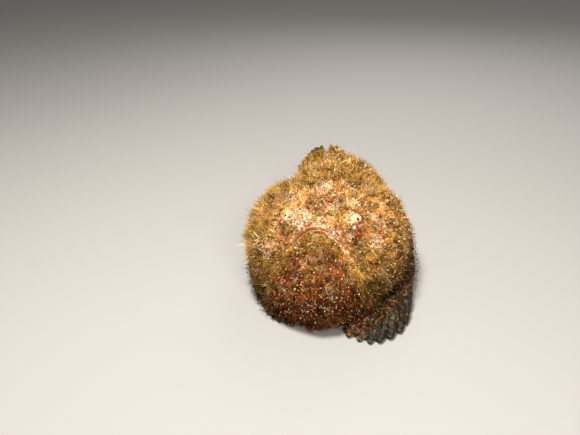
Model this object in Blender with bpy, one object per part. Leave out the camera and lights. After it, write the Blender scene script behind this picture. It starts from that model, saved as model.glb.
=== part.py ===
"""Reef stonefish resting on the seabed, life size and overgrown with turf algae.

The fish faces -Y, its left side is +X and the seabed is z = 0. All sizes are in metres.
It is modelled straight, parted by thin cuts, and its tail half is then curled to its right.
"""

import math

import bmesh
import bpy
import numpy as np
from mathutils import Vector
from mathutils.bvhtree import BVHTree

# Overall places along the straight fish
GILL_Y = -0.006
TAIL_CUT_Y = 0.078
CURL_START_Y = 0.045
CURL_RADIUS = 0.093
GAP = 0.0003
CUT_HALF = 0.0002
FLOOR_Z = 0.0

# The flesh is a blend of masses: name, centre and radii. One off the midline has a mirror twin.
BLEND = 0.014
MASSES = (
    ("chin", (0.0, -0.085, 0.033), (0.050, 0.049, 0.049)),
    ("jaw_front", (0.0, -0.080, 0.062), (0.041, 0.038, 0.045)),
    ("skull", (0.0, -0.046, 0.060), (0.067, 0.058, 0.046)),
    ("cheek", (0.045, -0.050, 0.047), (0.032, 0.044, 0.042)),
    ("gill_cover", (0.050, -0.016, 0.054), (0.030, 0.037, 0.041)),
    ("belly", (0.0, 0.004, 0.050), (0.068, 0.076, 0.051)),
    ("nape", (0.0, -0.002, 0.076), (0.040, 0.060, 0.035)),
    ("back", (0.0, 0.044, 0.064), (0.037, 0.056, 0.037)),
    ("flank", (0.0, 0.046, 0.051), (0.049, 0.056, 0.044)),
    ("tail_stem", (0.0, 0.094, 0.049), (0.018, 0.046, 0.024)),
    ("eye_mound", (0.0275, -0.078, 0.098), (0.013, 0.014, 0.014)),
    ("brow", (0.0225, -0.054, 0.099), (0.011, 0.016, 0.011)),
    ("snout", (0.0, -0.088, 0.099), (0.018, 0.013, 0.009)),
)
PIT_BLEND = 0.008
PITS = (
    ("between_eyes", (0.0, -0.068, 0.113), (0.014, 0.020, 0.017)),
    ("behind_eyes", (0.0, -0.033, 0.121), (0.024, 0.013, 0.015)),
    ("under_eye", (0.044, -0.098, 0.082), (0.008, 0.008, 0.008)),
    ("throat", (0.0, -0.068, -0.012), (0.047, 0.030, 0.019)),
)

# The mouth is an arch across the front of the head, and its slit runs steeply down into it
MOUTH_TOP = np.array((0.0, -0.1075, 0.110))
MOUTH_HALF_WIDTH = 0.033
MOUTH_DROP = 0.034
GAPE_SLOPE = math.radians(67)
GAPE_DIRECTION = np.array((0.0, math.cos(GAPE_SLOPE), -math.sin(GAPE_SLOPE)))
LIP_RADIUS = 0.0034
LIP_OFFSET = 0.0030

BUMP_SPACING = 0.021
BUMP_HEIGHT = 0.0030

EYE_RADIUS = 0.0045
EYE_CENTRE = (0.0330, -0.0840, 0.1035)
EYE_FACING = (0.62, -0.55, 0.56)
LID_RING_RADIUS = 0.0050
LID_THICKNESS = 0.0019
NOSTRIL_ROOT = (0.0115, -0.078, 0.088)
NOSTRIL_FACING = (0.10, -0.62, 0.78)

DORSAL_SPINES = 13
DORSAL_START_Y = -0.030
DORSAL_END_Y = 0.066
SPINE_HEIGHT = 0.0215
WEB_HEIGHT = 0.0075

SOFT_DORSAL_RAYS = 6
SOFT_DORSAL_Y = (0.080, 0.098)
SOFT_DORSAL_HEIGHT = 0.015
ANAL_RAYS = 7
PELVIC_RAYS = 6
PELVIC_LENGTH = 0.040
PELVIC_Z = 0.0026

# The tail fin is a rounded fan whose middle is tipped up
CAUDAL_RAYS = 11
CAUDAL_LENGTH = 0.040
CAUDAL_ROOT = (0.1185, 0.0490)
CAUDAL_ROOT_HALF = 0.017
CAUDAL_SPREAD = 49.0
CAUDAL_TIP_UP = 27.0
CAUDAL_ROUNDING = 0.08

# The pectoral's root in y and z and its edge in x, y and z, from the throat to the topmost ray.
# The left fin is spread wider than the right one.
PECTORAL_RAYS = 15
PECTORAL_ROWS = 6
PECTORAL_ROOT = ((-0.068, 0.009), (-0.062, 0.013), (-0.047, 0.022), (-0.027, 0.036), (-0.006, 0.052))
PECTORAL_EDGE = {
    1.0: (
        (0.028, -0.131, 0.0020),
        (0.060, -0.139, 0.0020),
        (0.086, -0.111, 0.0020),
        (0.089, -0.055, 0.0030),
        (0.084, 0.000, 0.0110),
        (0.078, 0.038, 0.0310),
    ),
    -1.0: (
        (0.017, -0.124, 0.0020),
        (0.039, -0.119, 0.0020),
        (0.060, -0.090, 0.0020),
        (0.074, -0.046, 0.0030),
        (0.081, 0.004, 0.0110),
        (0.080, 0.040, 0.0310),
    ),
}

# Spacing of locks, spacing of warts and length of locks on each part of the body
GROWTH = {
    "head": (0.0133, 0.0300, 0.0158),
    "lower_jaw": (0.0145, 0.0260, 0.0125),
    "trunk": (0.0134, 0.0500, 0.0168),
    "tail_stem": (0.0147, 0.0500, 0.0150),
}
WART_RADIUS = 0.0048
BARE_ROUND_EYES = 0.012
BARE_ROUND_MOUTH = 0.007

# A lock, in shares of its length: half width and thickness of its root, then rise off the skin,
# run along its lie, half width and thickness of its rings, then the rise and run of its tip
LOCK_SINK = 0.0035
LOCK_ROOT = (0.26, 0.26)
LOCK_RINGS = ((0.30, 0.14, 0.42, 0.24), (0.56, 0.44, 0.30, 0.16))
LOCK_TIP = (0.66, 0.92)
FIN_LOCK_SPACING = 0.0135
FIN_LOCK_SIZE = 0.0115
FIN_LOCK_SINK = 0.0012
FRINGE_LOCKS = 13
FRINGE_SIZE = 0.0085

# The place where the locks grow longest, how far round it and how much longer
THICKEST_GROWTH = (-0.066, -0.050, 0.072)
THICKEST_REACH = 0.035
THICKEST_EXTRA = 0.6

AXIS_START = np.array((0.0, -0.070, 0.050))
AXIS_END = np.array((0.0, 0.112, 0.048))
RAY_REACH = 0.120

COLOURS = {
    "algae_skin": ((0.34, 0.25, 0.10, 1.0), 0.85),
    "jaw_skin": ((0.25, 0.12, 0.05, 1.0), 0.85),
    "fin_skin": ((0.13, 0.13, 0.09, 1.0), 0.75),
    "eye": ((0.02, 0.015, 0.01, 1.0), 0.15),
}


# Blended flesh


def ellipsoid(points, centre, radii):
    """Rough signed distance from the points to an ellipsoid, negative inside it."""
    scaled = (points - np.array(centre)) / np.array(radii)
    reach = np.linalg.norm(scaled, axis=1)
    slope = np.linalg.norm(scaled / np.array(radii), axis=1)
    return reach * (reach - 1.0) / np.maximum(slope, 1e-6)


def joined(first, second, width):
    """Smooth union of two distances."""
    share = np.clip(0.5 + 0.5 * (second - first) / width, 0.0, 1.0)
    return second + (first - second) * share - width * share * (1.0 - share)


def both_sides(centre):
    """The centre, with its mirror image when it is off the midline."""
    if centre[0] == 0.0:
        return [centre]
    return [centre, (-centre[0], centre[1], centre[2])]


def flesh(points):
    """Signed distance to the head and body, without lips, warts or algae."""
    distance = np.full(len(points), 1.0)
    for _, centre, radii in MASSES:
        for place in both_sides(centre):
            distance = joined(distance, ellipsoid(points, place, radii), BLEND)
    for _, centre, radii in PITS:
        for place in both_sides(centre):
            distance = -joined(-distance, ellipsoid(points, place, radii), PIT_BLEND)
    return distance


def mouth_arch(x):
    """Points of the gape's arch above the head, at the given distances from the midline."""
    x = np.asarray(x, float)
    drop = MOUTH_DROP * (x / MOUTH_HALF_WIDTH) ** 2
    return MOUTH_TOP + np.stack([x, np.zeros_like(x), -drop], axis=-1)


def surface_hits(form, origins, directions, reach=RAY_REACH, steps=28):
    """Where rays from inside the form leave it for the last time."""
    along = np.linspace(reach, 0.0, steps)
    outer = np.full(len(origins), reach)
    inner = np.zeros(len(origins))
    found = np.zeros(len(origins), bool)
    for near, far in zip(along[1:], along[:-1]):
        inside = form(origins + directions * near) < 0.0
        fresh = inside & ~found
        inner[fresh] = near
        outer[fresh] = far
        found |= inside
    for _ in range(16):
        middle = (inner + outer) / 2.0
        inside = form(origins + directions * middle[:, None]) < 0.0
        inner = np.where(inside, middle, inner)
        outer = np.where(inside, outer, middle)
    return origins + directions * inner[:, None]


def mouth_line(count):
    """The line where the gape's sheet comes out of the skin, corner to corner."""
    x = np.linspace(-MOUTH_HALF_WIDTH, MOUTH_HALF_WIDTH, count)
    inside = mouth_arch(x) + GAPE_DIRECTION * 0.045
    outward = np.repeat(-GAPE_DIRECTION[None], count, axis=0)
    return surface_hits(flesh, inside, outward, reach=0.08)


MOUTH_LINE = mouth_line(15)
LIP_SIDE = np.cross(np.gradient(MOUTH_LINE, axis=0), GAPE_DIRECTION)
LIP_SIDE /= np.linalg.norm(LIP_SIDE, axis=1)[:, None]
LIP_SIDE *= np.sign(LIP_SIDE[7, 1])
UPPER_LIP = MOUTH_LINE + LIP_SIDE * LIP_OFFSET
LOWER_LIP = MOUTH_LINE - LIP_SIDE * LIP_OFFSET


def curled(points):
    """The straight fish's points with its rear half bent round to its right."""
    points = np.array(points, float)
    angle = np.maximum(points[..., 1] - CURL_START_Y, 0.0) / CURL_RADIUS
    arm = CURL_RADIUS + points[..., 0]
    bent = points.copy()
    rear = angle > 0.0
    bent[..., 0] = np.where(rear, arm * np.cos(angle) - CURL_RADIUS, points[..., 0])
    bent[..., 1] = np.where(rear, CURL_START_Y + arm * np.sin(angle), points[..., 1])
    return bent


# Mesh building


def mesh_object(name, vertices, faces):
    mesh = bpy.data.meshes.new(name)
    mesh.from_pydata([tuple(v) for v in vertices], [], [tuple(f) for f in faces])
    mesh.validate()
    form = bmesh.new()
    form.from_mesh(mesh)
    bmesh.ops.recalc_face_normals(form, faces=form.faces)
    form.to_mesh(mesh)
    form.free()
    item = bpy.data.objects.new(name, mesh)
    bpy.context.scene.collection.objects.link(item)
    return item


def ring_surface(rows, first_pole, last_pole):
    """Vertices and triangles of a closed surface of equal rings between two poles."""
    count = len(rows[0])
    vertices = [first_pole] + [point for row in rows for point in row] + [last_pole]
    faces = []
    for column in range(count):
        following = (column + 1) % count
        faces.append((0, 1 + following, 1 + column))
        for row in range(len(rows) - 1):
            near = 1 + row * count
            far = near + count
            faces.append((near + column, near + following, far + following))
            faces.append((near + column, far + following, far + column))
        last = 1 + (len(rows) - 1) * count
        faces.append((last + column, last + following, len(vertices) - 1))
    return vertices, faces


def plate_surface(middle, half):
    """Vertices and triangles of a thin closed plate. middle is a grid of points and half its
    half thickness at each, and both faces are split along the same diagonals."""
    along = np.gradient(middle, axis=0)
    across = np.gradient(middle, axis=1)
    normal = np.cross(along, across)
    normal /= np.linalg.norm(normal, axis=-1)[..., None]
    upper = middle + normal * half[..., None]
    lower = middle - normal * half[..., None]
    rows, columns = half.shape
    vertices = np.concatenate([upper.reshape(-1, 3), lower.reshape(-1, 3)])
    under = rows * columns
    faces = []
    for i in range(rows - 1):
        for j in range(columns - 1):
            a = i * columns + j
            b = a + columns
            for shift in (0, under):
                faces.append((a + shift, b + shift, b + 1 + shift))
                faces.append((a + shift, b + 1 + shift, a + 1 + shift))
    rim = [i * columns for i in range(rows)]
    rim += [(rows - 1) * columns + j for j in range(1, columns)]
    rim += [i * columns + columns - 1 for i in range(rows - 2, -1, -1)]
    rim += list(range(columns - 2, 0, -1))
    for here, there in zip(rim, rim[1:] + rim[:1]):
        faces.append((here, there, there + under))
        faces.append((here, there + under, here + under))
    return vertices, faces


def plate(name, middle, half):
    return mesh_object(name, *plate_surface(middle, half))


def applied(item, operation, operand):
    """Run one Boolean on the item against an object or a collection, and keep its result."""
    modifier = item.modifiers.new(operation.lower(), "BOOLEAN")
    modifier.operation = operation
    modifier.solver = "EXACT"
    if isinstance(operand, bpy.types.Collection):
        modifier.operand_type = "COLLECTION"
        modifier.collection = operand
    else:
        modifier.object = operand
    bpy.context.view_layer.update()
    graph = bpy.context.evaluated_depsgraph_get()
    mesh = bpy.data.meshes.new_from_object(item.evaluated_get(graph))
    item.modifiers.clear()
    item.data = mesh


def remove(items):
    for item in items:
        bpy.data.objects.remove(item)


def islands(form):
    """Lists of the faces of each closed surface in a bmesh."""
    left = set(form.faces)
    found = []
    while left:
        queue = [left.pop()]
        island = list(queue)
        while queue:
            for edge in queue.pop().edges:
                for face in edge.link_faces:
                    if face in left:
                        left.remove(face)
                        queue.append(face)
                        island.append(face)
        found.append(island)
    return found


def island_volume(faces):
    total = 0.0
    for face in faces:
        corners = [vertex.co for vertex in face.verts]
        for second, third in zip(corners[1:-1], corners[2:]):
            total += corners[0].dot(second.cross(third)) / 6.0
    return total


def keep_largest(item):
    """Drop loose scraps and sealed hollows, so that the item is one closed surface."""
    form = bmesh.new()
    form.from_mesh(item.data)
    parts = sorted(islands(form), key=island_volume)
    for part in parts[:-1]:
        bmesh.ops.delete(form, geom=part, context="FACES")
    loose = [vertex for vertex in form.verts if not vertex.link_faces]
    bmesh.ops.delete(form, geom=loose, context="VERTS")
    form.to_mesh(item.data)
    form.free()


def split_off(item, name, is_part):
    """Part a cut item into two: the islands whose centre passes is_part become a new object."""
    twin = item.copy()
    twin.data = item.data.copy()
    twin.name = name
    bpy.context.scene.collection.objects.link(twin)
    for piece, wanted in ((item, False), (twin, True)):
        form = bmesh.new()
        form.from_mesh(piece.data)
        for part in islands(form):
            centre = sum((f.calc_center_median() for f in part), Vector()) / len(part)
            if is_part(centre) != wanted:
                bmesh.ops.delete(form, geom=part, context="FACES")
        loose = [vertex for vertex in form.verts if not vertex.link_faces]
        bmesh.ops.delete(form, geom=loose, context="VERTS")
        form.to_mesh(piece.data)
        form.free()
        keep_largest(piece)
    return twin


def fuse(item, pieces):
    """Join closed pieces to the item with one Boolean union."""
    if not pieces:
        return
    bunch = bpy.data.collections.new(item.name + "_pieces")
    bpy.context.scene.collection.children.link(bunch)
    for piece in pieces:
        for home in list(piece.users_collection):
            home.objects.unlink(piece)
        bunch.objects.link(piece)
    applied(item, "UNION", bunch)
    remove(pieces)
    bpy.data.collections.remove(bunch)
    keep_largest(item)


def cut(item, cutter):
    applied(item, "DIFFERENCE", cutter)
    keep_largest(item)


def shape_by(item, change):
    """Move every vertex of the item by a function of its place."""
    count = len(item.data.vertices)
    places = np.empty(count * 3, np.float32)
    item.data.vertices.foreach_get("co", places)
    moved = change(places.reshape(-1, 3).astype(float)).astype(np.float32)
    item.data.vertices.foreach_set("co", moved.ravel())
    item.data.update()


# Head and body


def body_rays(front_rows, middle_rows, tail_rows, columns):
    """Origins and directions of the rays that draw the skin, ring by ring from the chin."""
    around = np.arange(columns) * 2.0 * math.pi / columns
    radial = np.stack([np.sin(around), np.zeros(columns), np.cos(around)], axis=1)
    rings = []
    for row in range(1, front_rows):
        lean = math.pi / 2.0 * (1.0 - row / front_rows)
        forward = np.array((0.0, -math.sin(lean), 0.0))
        rings.append((AXIS_START, radial * math.cos(lean) + forward))
    for row in range(middle_rows + 1):
        share = row / middle_rows
        rings.append((AXIS_START * (1.0 - share) + AXIS_END * share, radial))
    for row in range(1, tail_rows):
        lean = math.pi / 2.0 * row / tail_rows
        backward = np.array((0.0, math.sin(lean), 0.0))
        rings.append((AXIS_END, radial * math.cos(lean) + backward))
    return rings


def skin_normals(points):
    """Outward directions of the flesh at the points."""
    step = 0.0005
    slopes = [flesh(points + shift) - flesh(points - shift) for shift in np.eye(3) * step]
    normals = np.stack(slopes, axis=1)
    return normals / np.linalg.norm(normals, axis=1)[:, None]


def bump_heights(points):
    """How far each point of the skin's grid is raised: only well spaced ones, clear of the face."""
    draw = np.random.default_rng(3)
    heights = np.zeros(len(points))
    bumps = []
    guarded = [np.array(centre) for centre in both_sides(EYE_CENTRE)] + list(MOUTH_LINE)
    for index in draw.permutation(len(points)):
        place = points[index]
        height = BUMP_HEIGHT * draw.uniform(0.6, 1.3)
        if place[2] < 0.012 or any(np.linalg.norm(place - spot) < 0.013 for spot in guarded):
            continue
        if any(np.linalg.norm(place - bump) < BUMP_SPACING for bump in bumps):
            continue
        bumps.append(place)
        heights[index] = height
    return heights


def skin_rings(grow, rings, columns):
    """Points of the skin, grown outwards by grow, along every ray of each ring."""
    rows = []
    for origin, directions in body_rays(*rings, columns):
        origins = np.repeat(origin[None], len(directions), axis=0)
        rows.append(surface_hits(lambda p: flesh(p) - grow, origins, directions))
    return np.concatenate(rows)


def body_form(name, grow=0.0, rings=(11, 21, 3), columns=38):
    """The closed skin of head and body with its bumps, grown outwards by grow."""
    points = skin_rings(grow, rings, columns)
    raised = bump_heights(skin_rings(0.0, rings, columns))
    points = points + skin_normals(points) * raised[:, None]
    ends = []
    for origin, direction in ((AXIS_START, (0.0, -1.0, 0.0)), (AXIS_END, (0.0, 1.0, 0.0))):
        ends.append(surface_hits(lambda p: flesh(p) - grow, origin[None], np.array([direction]))[0])
    return mesh_object(name, *ring_surface(points.reshape(-1, columns, 3), ends[0], ends[1]))


def gape_cutter():
    """A thin sheet along the mouth's slit, right through the head and out of the throat."""
    x = np.linspace(-0.075, 0.075, 17)
    depth = np.linspace(-0.03, 0.16, 2)
    grid = mouth_arch(x)[:, None, :] + GAPE_DIRECTION * depth[None, :, None]
    return plate("gape", grid, np.full(grid.shape[:2], CUT_HALF))


def gill_cut_y(z):
    """The gill cover's rear edge: furthest back at mid height."""
    return GILL_Y - 0.024 * ((z - 0.052) / 0.05) ** 2


def gill_cutter():
    z = np.linspace(-0.03, 0.14, 12)
    x = np.linspace(-0.12, 0.12, 2)
    grid = np.empty((len(z), len(x), 3))
    grid[..., 0] = x[None, :]
    grid[..., 1] = gill_cut_y(z)[:, None]
    grid[..., 2] = z[:, None]
    return plate("gill_edge", grid, np.full(grid.shape[:2], CUT_HALF))


def tail_cutter():
    x = np.linspace(-0.08, 0.08, 2)
    z = np.linspace(-0.03, 0.12, 2)
    grid = np.empty((2, 2, 3))
    grid[..., 0] = x[None, :]
    grid[..., 1] = TAIL_CUT_Y
    grid[..., 2] = z[:, None]
    return plate("tail_edge", grid, np.full((2, 2), CUT_HALF))


def floor_block():
    """Everything below the seabed, cut off so that the fish rests on flats at one level."""
    bpy.ops.mesh.primitive_cube_add(size=1.0, location=(0.0, 0.0, FLOOR_Z - 0.05))
    block = bpy.context.object
    block.name = "seabed_block"
    block.scale = (0.6, 0.6, 0.1)
    bpy.context.view_layer.update()
    block.data.transform(block.matrix_world)
    block.matrix_world.identity()
    block.hide_render = True
    block.display_type = "WIRE"
    return block


def lip(name, line):
    """A fleshy lip: a round ridge along the mouth, sunk into the skin and thinner at the corners."""
    inward = GAPE_DIRECTION * LIP_RADIUS * 0.25
    share = np.linspace(-1.0, 1.0, len(line))
    radii = LIP_RADIUS * (1.0 - 0.35 * share**2)
    return cone(name, line + inward, radii, 6, reference=(0.0, 1.0, 0.0))


def body_parts():
    """Head, lower jaw, trunk and tail stem, parted by thin cuts and then curled."""
    whole = body_form("trunk")
    fuse(whole, [lip("upper_lip", UPPER_LIP), lip("lower_lip", LOWER_LIP)])
    cutters = [gape_cutter(), gill_cutter(), tail_cutter()]
    applied(whole, "DIFFERENCE", cutters[0])
    jaw = split_off(whole, "lower_jaw", lambda c: c.y < -0.085)
    applied(whole, "DIFFERENCE", cutters[1])
    head = split_off(whole, "head", lambda c: c.y < -0.03)
    applied(whole, "DIFFERENCE", cutters[2])
    stem = split_off(whole, "tail_stem", lambda c: c.y > TAIL_CUT_Y)
    remove(cutters)
    for item in (whole, jaw, head, stem):
        shape_by(item, curled)
    return {"head": head, "lower_jaw": jaw, "trunk": whole, "tail_stem": stem}


# Fins


def fan_half(rays, length_rows, root_half, tip_half, ridge):
    """Half thickness over a fin's grid: thick at the root, with a ridge along each ray."""
    columns = 2 * rays + 1
    half = np.linspace(root_half, tip_half, length_rows)[None, :].repeat(columns, axis=0)
    on_ray = np.arange(columns) % 2 == 1
    fade = np.linspace(1.0, 0.6, length_rows)
    half[on_ray] += ridge * fade
    half[:, -1] = np.where(on_ray, tip_half, tip_half * 0.7)
    return half


def lobed(rays, depth):
    """Length factor for each grid column: full on a ray, shorter in the web between rays."""
    columns = 2 * rays + 1
    return np.where(np.arange(columns) % 2 == 1, 1.0, 1.0 - depth)


def side_of_body(y, z):
    """The skin's distance from the midline on the left side, at each y and z."""
    origins = np.stack([np.zeros_like(y), y, z], axis=1)
    directions = np.repeat(np.array([[1.0, 0.0, 0.0]]), len(y), axis=0)
    return surface_hits(flesh, origins, directions)[:, 0]


def through(points, share):
    """A smooth curve through evenly spaced points, at each share of its length."""
    points = np.array(points, float)
    knots = np.linspace(0.0, 1.0, len(points))
    slopes = np.gradient(points, knots, axis=0)
    index = np.clip((share * (len(points) - 1)).astype(int), 0, len(points) - 2)
    step = knots[1]
    t = ((share - knots[index]) / step)[:, None]
    start = points[index] * (2 * t**3 - 3 * t**2 + 1) + slopes[index] * step * (t**3 - 2 * t**2 + t)
    end = points[index + 1] * (3 * t**2 - 2 * t**3) + slopes[index + 1] * step * (t**3 - t**2)
    return start + end


def pectoral_middle(side):
    """A pectoral fin's middle surface: it arches out from the flank and down to the seabed."""
    columns = 2 * PECTORAL_RAYS + 1
    share = np.linspace(0.0, 1.0, columns)
    root = through(PECTORAL_ROOT, share)
    inner = side_of_body(root[:, 0], root[:, 1]) - 0.005
    root = np.concatenate([inner[:, None], root], axis=1)
    edge = through(PECTORAL_EDGE[side], share)
    edge = root + (edge - root) * lobed(PECTORAL_RAYS, 0.08)[:, None]
    along = np.linspace(0.0, 1.0, PECTORAL_ROWS)[None, :, None]
    grid = root[:, None, :] + (edge - root)[:, None, :] * along
    arch = np.sin(math.pi * along[..., 0])
    grid[..., 0] += 0.009 * arch * np.sin(math.pi * (0.15 + 0.7 * share))[:, None]
    grid[..., 2] += 0.006 * arch + 0.0016 * np.sin(share * math.pi * 9.0)[:, None] * arch
    grid[..., 0] *= side
    return grid


def pectoral_fin(name, side):
    half = fan_half(PECTORAL_RAYS, PECTORAL_ROWS, 0.0026, 0.0012, 0.0008)
    return plate(name, curled(pectoral_middle(side)), half)


def pelvic_fin(name, side):
    """Pelvic fin, lying flat on the seabed beside the belly."""
    rows = 4
    columns = 2 * PELVIC_RAYS + 1
    out = np.linspace(0.0, 1.0, columns)
    along = np.linspace(0.0, 1.0, rows)[None, :]
    heading = np.radians(12.0 + 40.0 * out)
    length = PELVIC_LENGTH * (1.0 + 0.3 * np.sin(math.pi * out)) * lobed(PELVIC_RAYS, 0.08)
    grid = np.empty((columns, rows, 3))
    grid[..., 0] = (0.020 + 0.010 * out)[:, None] + np.sin(heading)[:, None] * length[:, None] * along
    grid[..., 1] = (-0.026 - 0.022 * out)[:, None] + np.cos(heading)[:, None] * length[:, None] * along
    grid[..., 2] = PELVIC_Z + 0.0004 * np.sin(along * 3.0)
    grid[..., 0] *= side
    return plate(name, curled(grid), fan_half(PELVIC_RAYS, rows, 0.0016, 0.0010, 0.0005))


def top_of_body(y):
    origins = np.stack([np.zeros_like(y), y, np.full_like(y, 0.045)], axis=1)
    directions = np.repeat(np.array([[0.0, 0.0, 1.0]]), len(y), axis=0)
    return surface_hits(flesh, origins, directions)[:, 2]


def underside_of_body(y):
    origins = np.stack([np.zeros_like(y), y, np.full_like(y, 0.045)], axis=1)
    directions = np.repeat(np.array([[0.0, 0.0, -1.0]]), len(y), axis=0)
    return surface_hits(flesh, origins, directions)[:, 2]


def cone(name, path, radii, sides, reference=(1.0, 0.0, 0.0)):
    """A tapered closed piece along a path of points, nowhere parallel to the reference."""
    path = np.array(path, float)
    along = np.gradient(path, axis=0)
    along /= np.linalg.norm(along, axis=1)[:, None]
    rows = []
    for place, direction, radius in zip(path[1:-1], along[1:-1], radii[1:-1]):
        across = np.cross(direction, reference)
        across /= np.linalg.norm(across)
        other = np.cross(direction, across)
        turns = np.arange(sides) * 2.0 * math.pi / sides
        ring = np.outer(np.cos(turns), across) + np.outer(np.sin(turns), other)
        rows.append(place + ring * radius)
    return mesh_object(name, *ring_surface(rows, path[0], path[-1]))


def dorsal_spiny():
    """A low fleshy web with thirteen thick-skinned spines that lean back and to either side."""
    columns = 2 * DORSAL_SPINES + 1
    rows = 5
    share = np.linspace(0.0, 1.0, columns)
    on_spine = np.arange(columns) % 2 == 1
    y = DORSAL_START_Y + (DORSAL_END_Y - DORSAL_START_Y) * share
    height = np.where(on_spine, SPINE_HEIGHT - 0.0050 * share, WEB_HEIGHT - 0.0015 * share)
    height[1] *= 0.75
    lean = np.where(np.arange(columns) % 4 == 1, 0.24, -0.28) * on_spine
    along = np.linspace(0.0, 1.0, rows)[None, :]
    rise = height[:, None] * along - 0.0040 * (1.0 - along)
    grid = np.empty((columns, rows, 3))
    grid[..., 0] = lean[:, None] * height[:, None] * along**1.5
    grid[..., 1] = y[:, None] + 0.75 * height[:, None] * along**1.8
    grid[..., 2] = top_of_body(y)[:, None] + rise
    spine_half = np.array((0.0046, 0.0044, 0.0037, 0.0026, 0.0009))
    web_half = np.array((0.0038, 0.0030, 0.0022, 0.0015, 0.0008))
    half = np.where(on_spine[:, None], spine_half[None, :], web_half[None, :])
    return plate("dorsal_fin_spiny", curled(grid), half)


def ray_fin(name, root, tip, rays, rows, halves, lobe):
    """A fin of rays from a line of root points to a line of tip points."""
    shorten = lobed(rays, lobe)[:, None, None]
    along = np.linspace(0.0, 1.0, rows)[None, :, None]
    grid = root[:, None, :] + (tip - root)[:, None, :] * along * shorten
    return plate(name, curled(grid), fan_half(rays, rows, *halves))


def dorsal_soft():
    share = np.linspace(0.0, 1.0, 2 * SOFT_DORSAL_RAYS + 1)
    y = SOFT_DORSAL_Y[0] * (1.0 - share) + SOFT_DORSAL_Y[1] * share
    root = np.stack([np.zeros_like(y), y, top_of_body(y) - 0.004], axis=1)
    lift = SOFT_DORSAL_HEIGHT + 0.004 * np.sin(math.pi * share)
    tip = root + np.stack([0.003 + 0 * y, 0.70 * lift + 0.004 * share, lift], axis=1)
    halves = (0.0022, 0.0010, 0.0006)
    return ray_fin("dorsal_fin_soft", root, tip, SOFT_DORSAL_RAYS, 4, halves, 0.10)


def anal_fin():
    share = np.linspace(0.0, 1.0, 2 * ANAL_RAYS + 1)
    y = 0.066 + 0.030 * share
    under = underside_of_body(y)
    root = np.stack([0.002 + 0 * y, y, under + 0.004], axis=1)
    tip_z = np.full_like(y, 0.0020)
    tip = np.stack([0.014 + 0.004 * np.sin(math.pi * share), y + 0.014 + 0.008 * share, tip_z], axis=1)
    return ray_fin("anal_fin", root, tip, ANAL_RAYS, 4, (0.0020, 0.0010, 0.0005), 0.08)


def tail_fin():
    rows = 5
    share = np.linspace(-1.0, 1.0, 2 * CAUDAL_RAYS + 1)
    tipped = math.radians(CAUDAL_TIP_UP)
    spread = tipped + np.radians(CAUDAL_SPREAD) * share
    length = CAUDAL_LENGTH * (1.0 - CAUDAL_ROUNDING * share**2) * lobed(CAUDAL_RAYS, 0.05)
    along = np.linspace(0.0, 1.0, rows)[None, :]
    grid = np.empty((len(share), rows, 3))
    grid[..., 0] = -0.003 * np.sin(math.pi * along) + 0.0012 * np.sin(share * 9.0)[:, None] * along
    grid[..., 1] = CAUDAL_ROOT[0] - math.sin(tipped) * CAUDAL_ROOT_HALF * share[:, None]
    grid[..., 1] += np.cos(spread)[:, None] * length[:, None] * along
    grid[..., 2] = CAUDAL_ROOT[1] + math.cos(tipped) * CAUDAL_ROOT_HALF * share[:, None]
    grid[..., 2] += np.sin(spread)[:, None] * length[:, None] * along
    return plate("tail_fin", curled(grid), fan_half(CAUDAL_RAYS, rows, 0.0026, 0.0010, 0.0006))


# Growth on the skin


def skin_tree(items):
    """One search tree over the meshes of several objects."""
    vertices = []
    faces = []
    for item in items:
        start = len(vertices)
        vertices += [vertex.co.copy() for vertex in item.data.vertices]
        faces += [tuple(start + i for i in face.vertices) for face in item.data.polygons]
    return BVHTree.FromPolygons(vertices, faces)


def scattered(item, spacing, tries, seed):
    """Places and outward normals spread evenly over the item, about spacing apart."""
    item.data.calc_loop_triangles()
    triangles = item.data.loop_triangles
    draw = np.random.default_rng(seed)
    areas = np.array([triangle.area for triangle in triangles])
    chosen = draw.choice(len(areas), size=tries, p=areas / areas.sum())
    places = []
    for index in chosen:
        triangle = triangles[int(index)]
        a, b = draw.random(2)
        if a + b > 1.0:
            a, b = 1.0 - a, 1.0 - b
        corners = [item.data.vertices[i].co for i in triangle.vertices]
        place = corners[0] + (corners[1] - corners[0]) * a + (corners[2] - corners[0]) * b
        if all((place - other[0]).length > spacing for other in places):
            places.append((place, triangle.normal.copy()))
    return places


def lie_at(place, normal):
    """The way the algae hang: down the sides and jaw, and back along the top."""
    pull = Vector((0.0, 0.35, -1.0)) if place.y > -0.09 else Vector((0.0, -0.1, -1.0))
    flow = pull + Vector((place.x * 9.0, 0.4, 0.0)) * max(normal.z, 0.0)
    flow -= normal * flow.dot(normal)
    return flow.normalized()


def algae_lock(place, normal, size, twist, sink):
    """A flat tapered lock of turf that stands off the skin and bends over along its lie."""
    lie = lie_at(place, normal)
    lie = (lie + normal.cross(lie) * twist).normalized()
    side = normal.cross(lie)
    lift = (normal - lie * 0.5).normalized()
    wide, thick = LOCK_ROOT
    sections = [(normal * -sink, wide, thick, -lie)]
    for rise, run, wide, thick in LOCK_RINGS:
        sections.append(((normal * rise + lie * run) * size, wide, thick, lift))
    rows = []
    for middle, wide, thick, facing in sections:
        ring = (side * wide, facing * thick, side * -wide)
        rows.append([tuple(place + middle + offset * size) for offset in ring])
    root = place - normal * (sink + 0.0004)
    tip = place + (normal * LOCK_TIP[0] + lie * LOCK_TIP[1] + side * 0.3 * twist) * size
    return mesh_object("lock", *ring_surface(rows, tuple(root), tuple(tip)))


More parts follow.
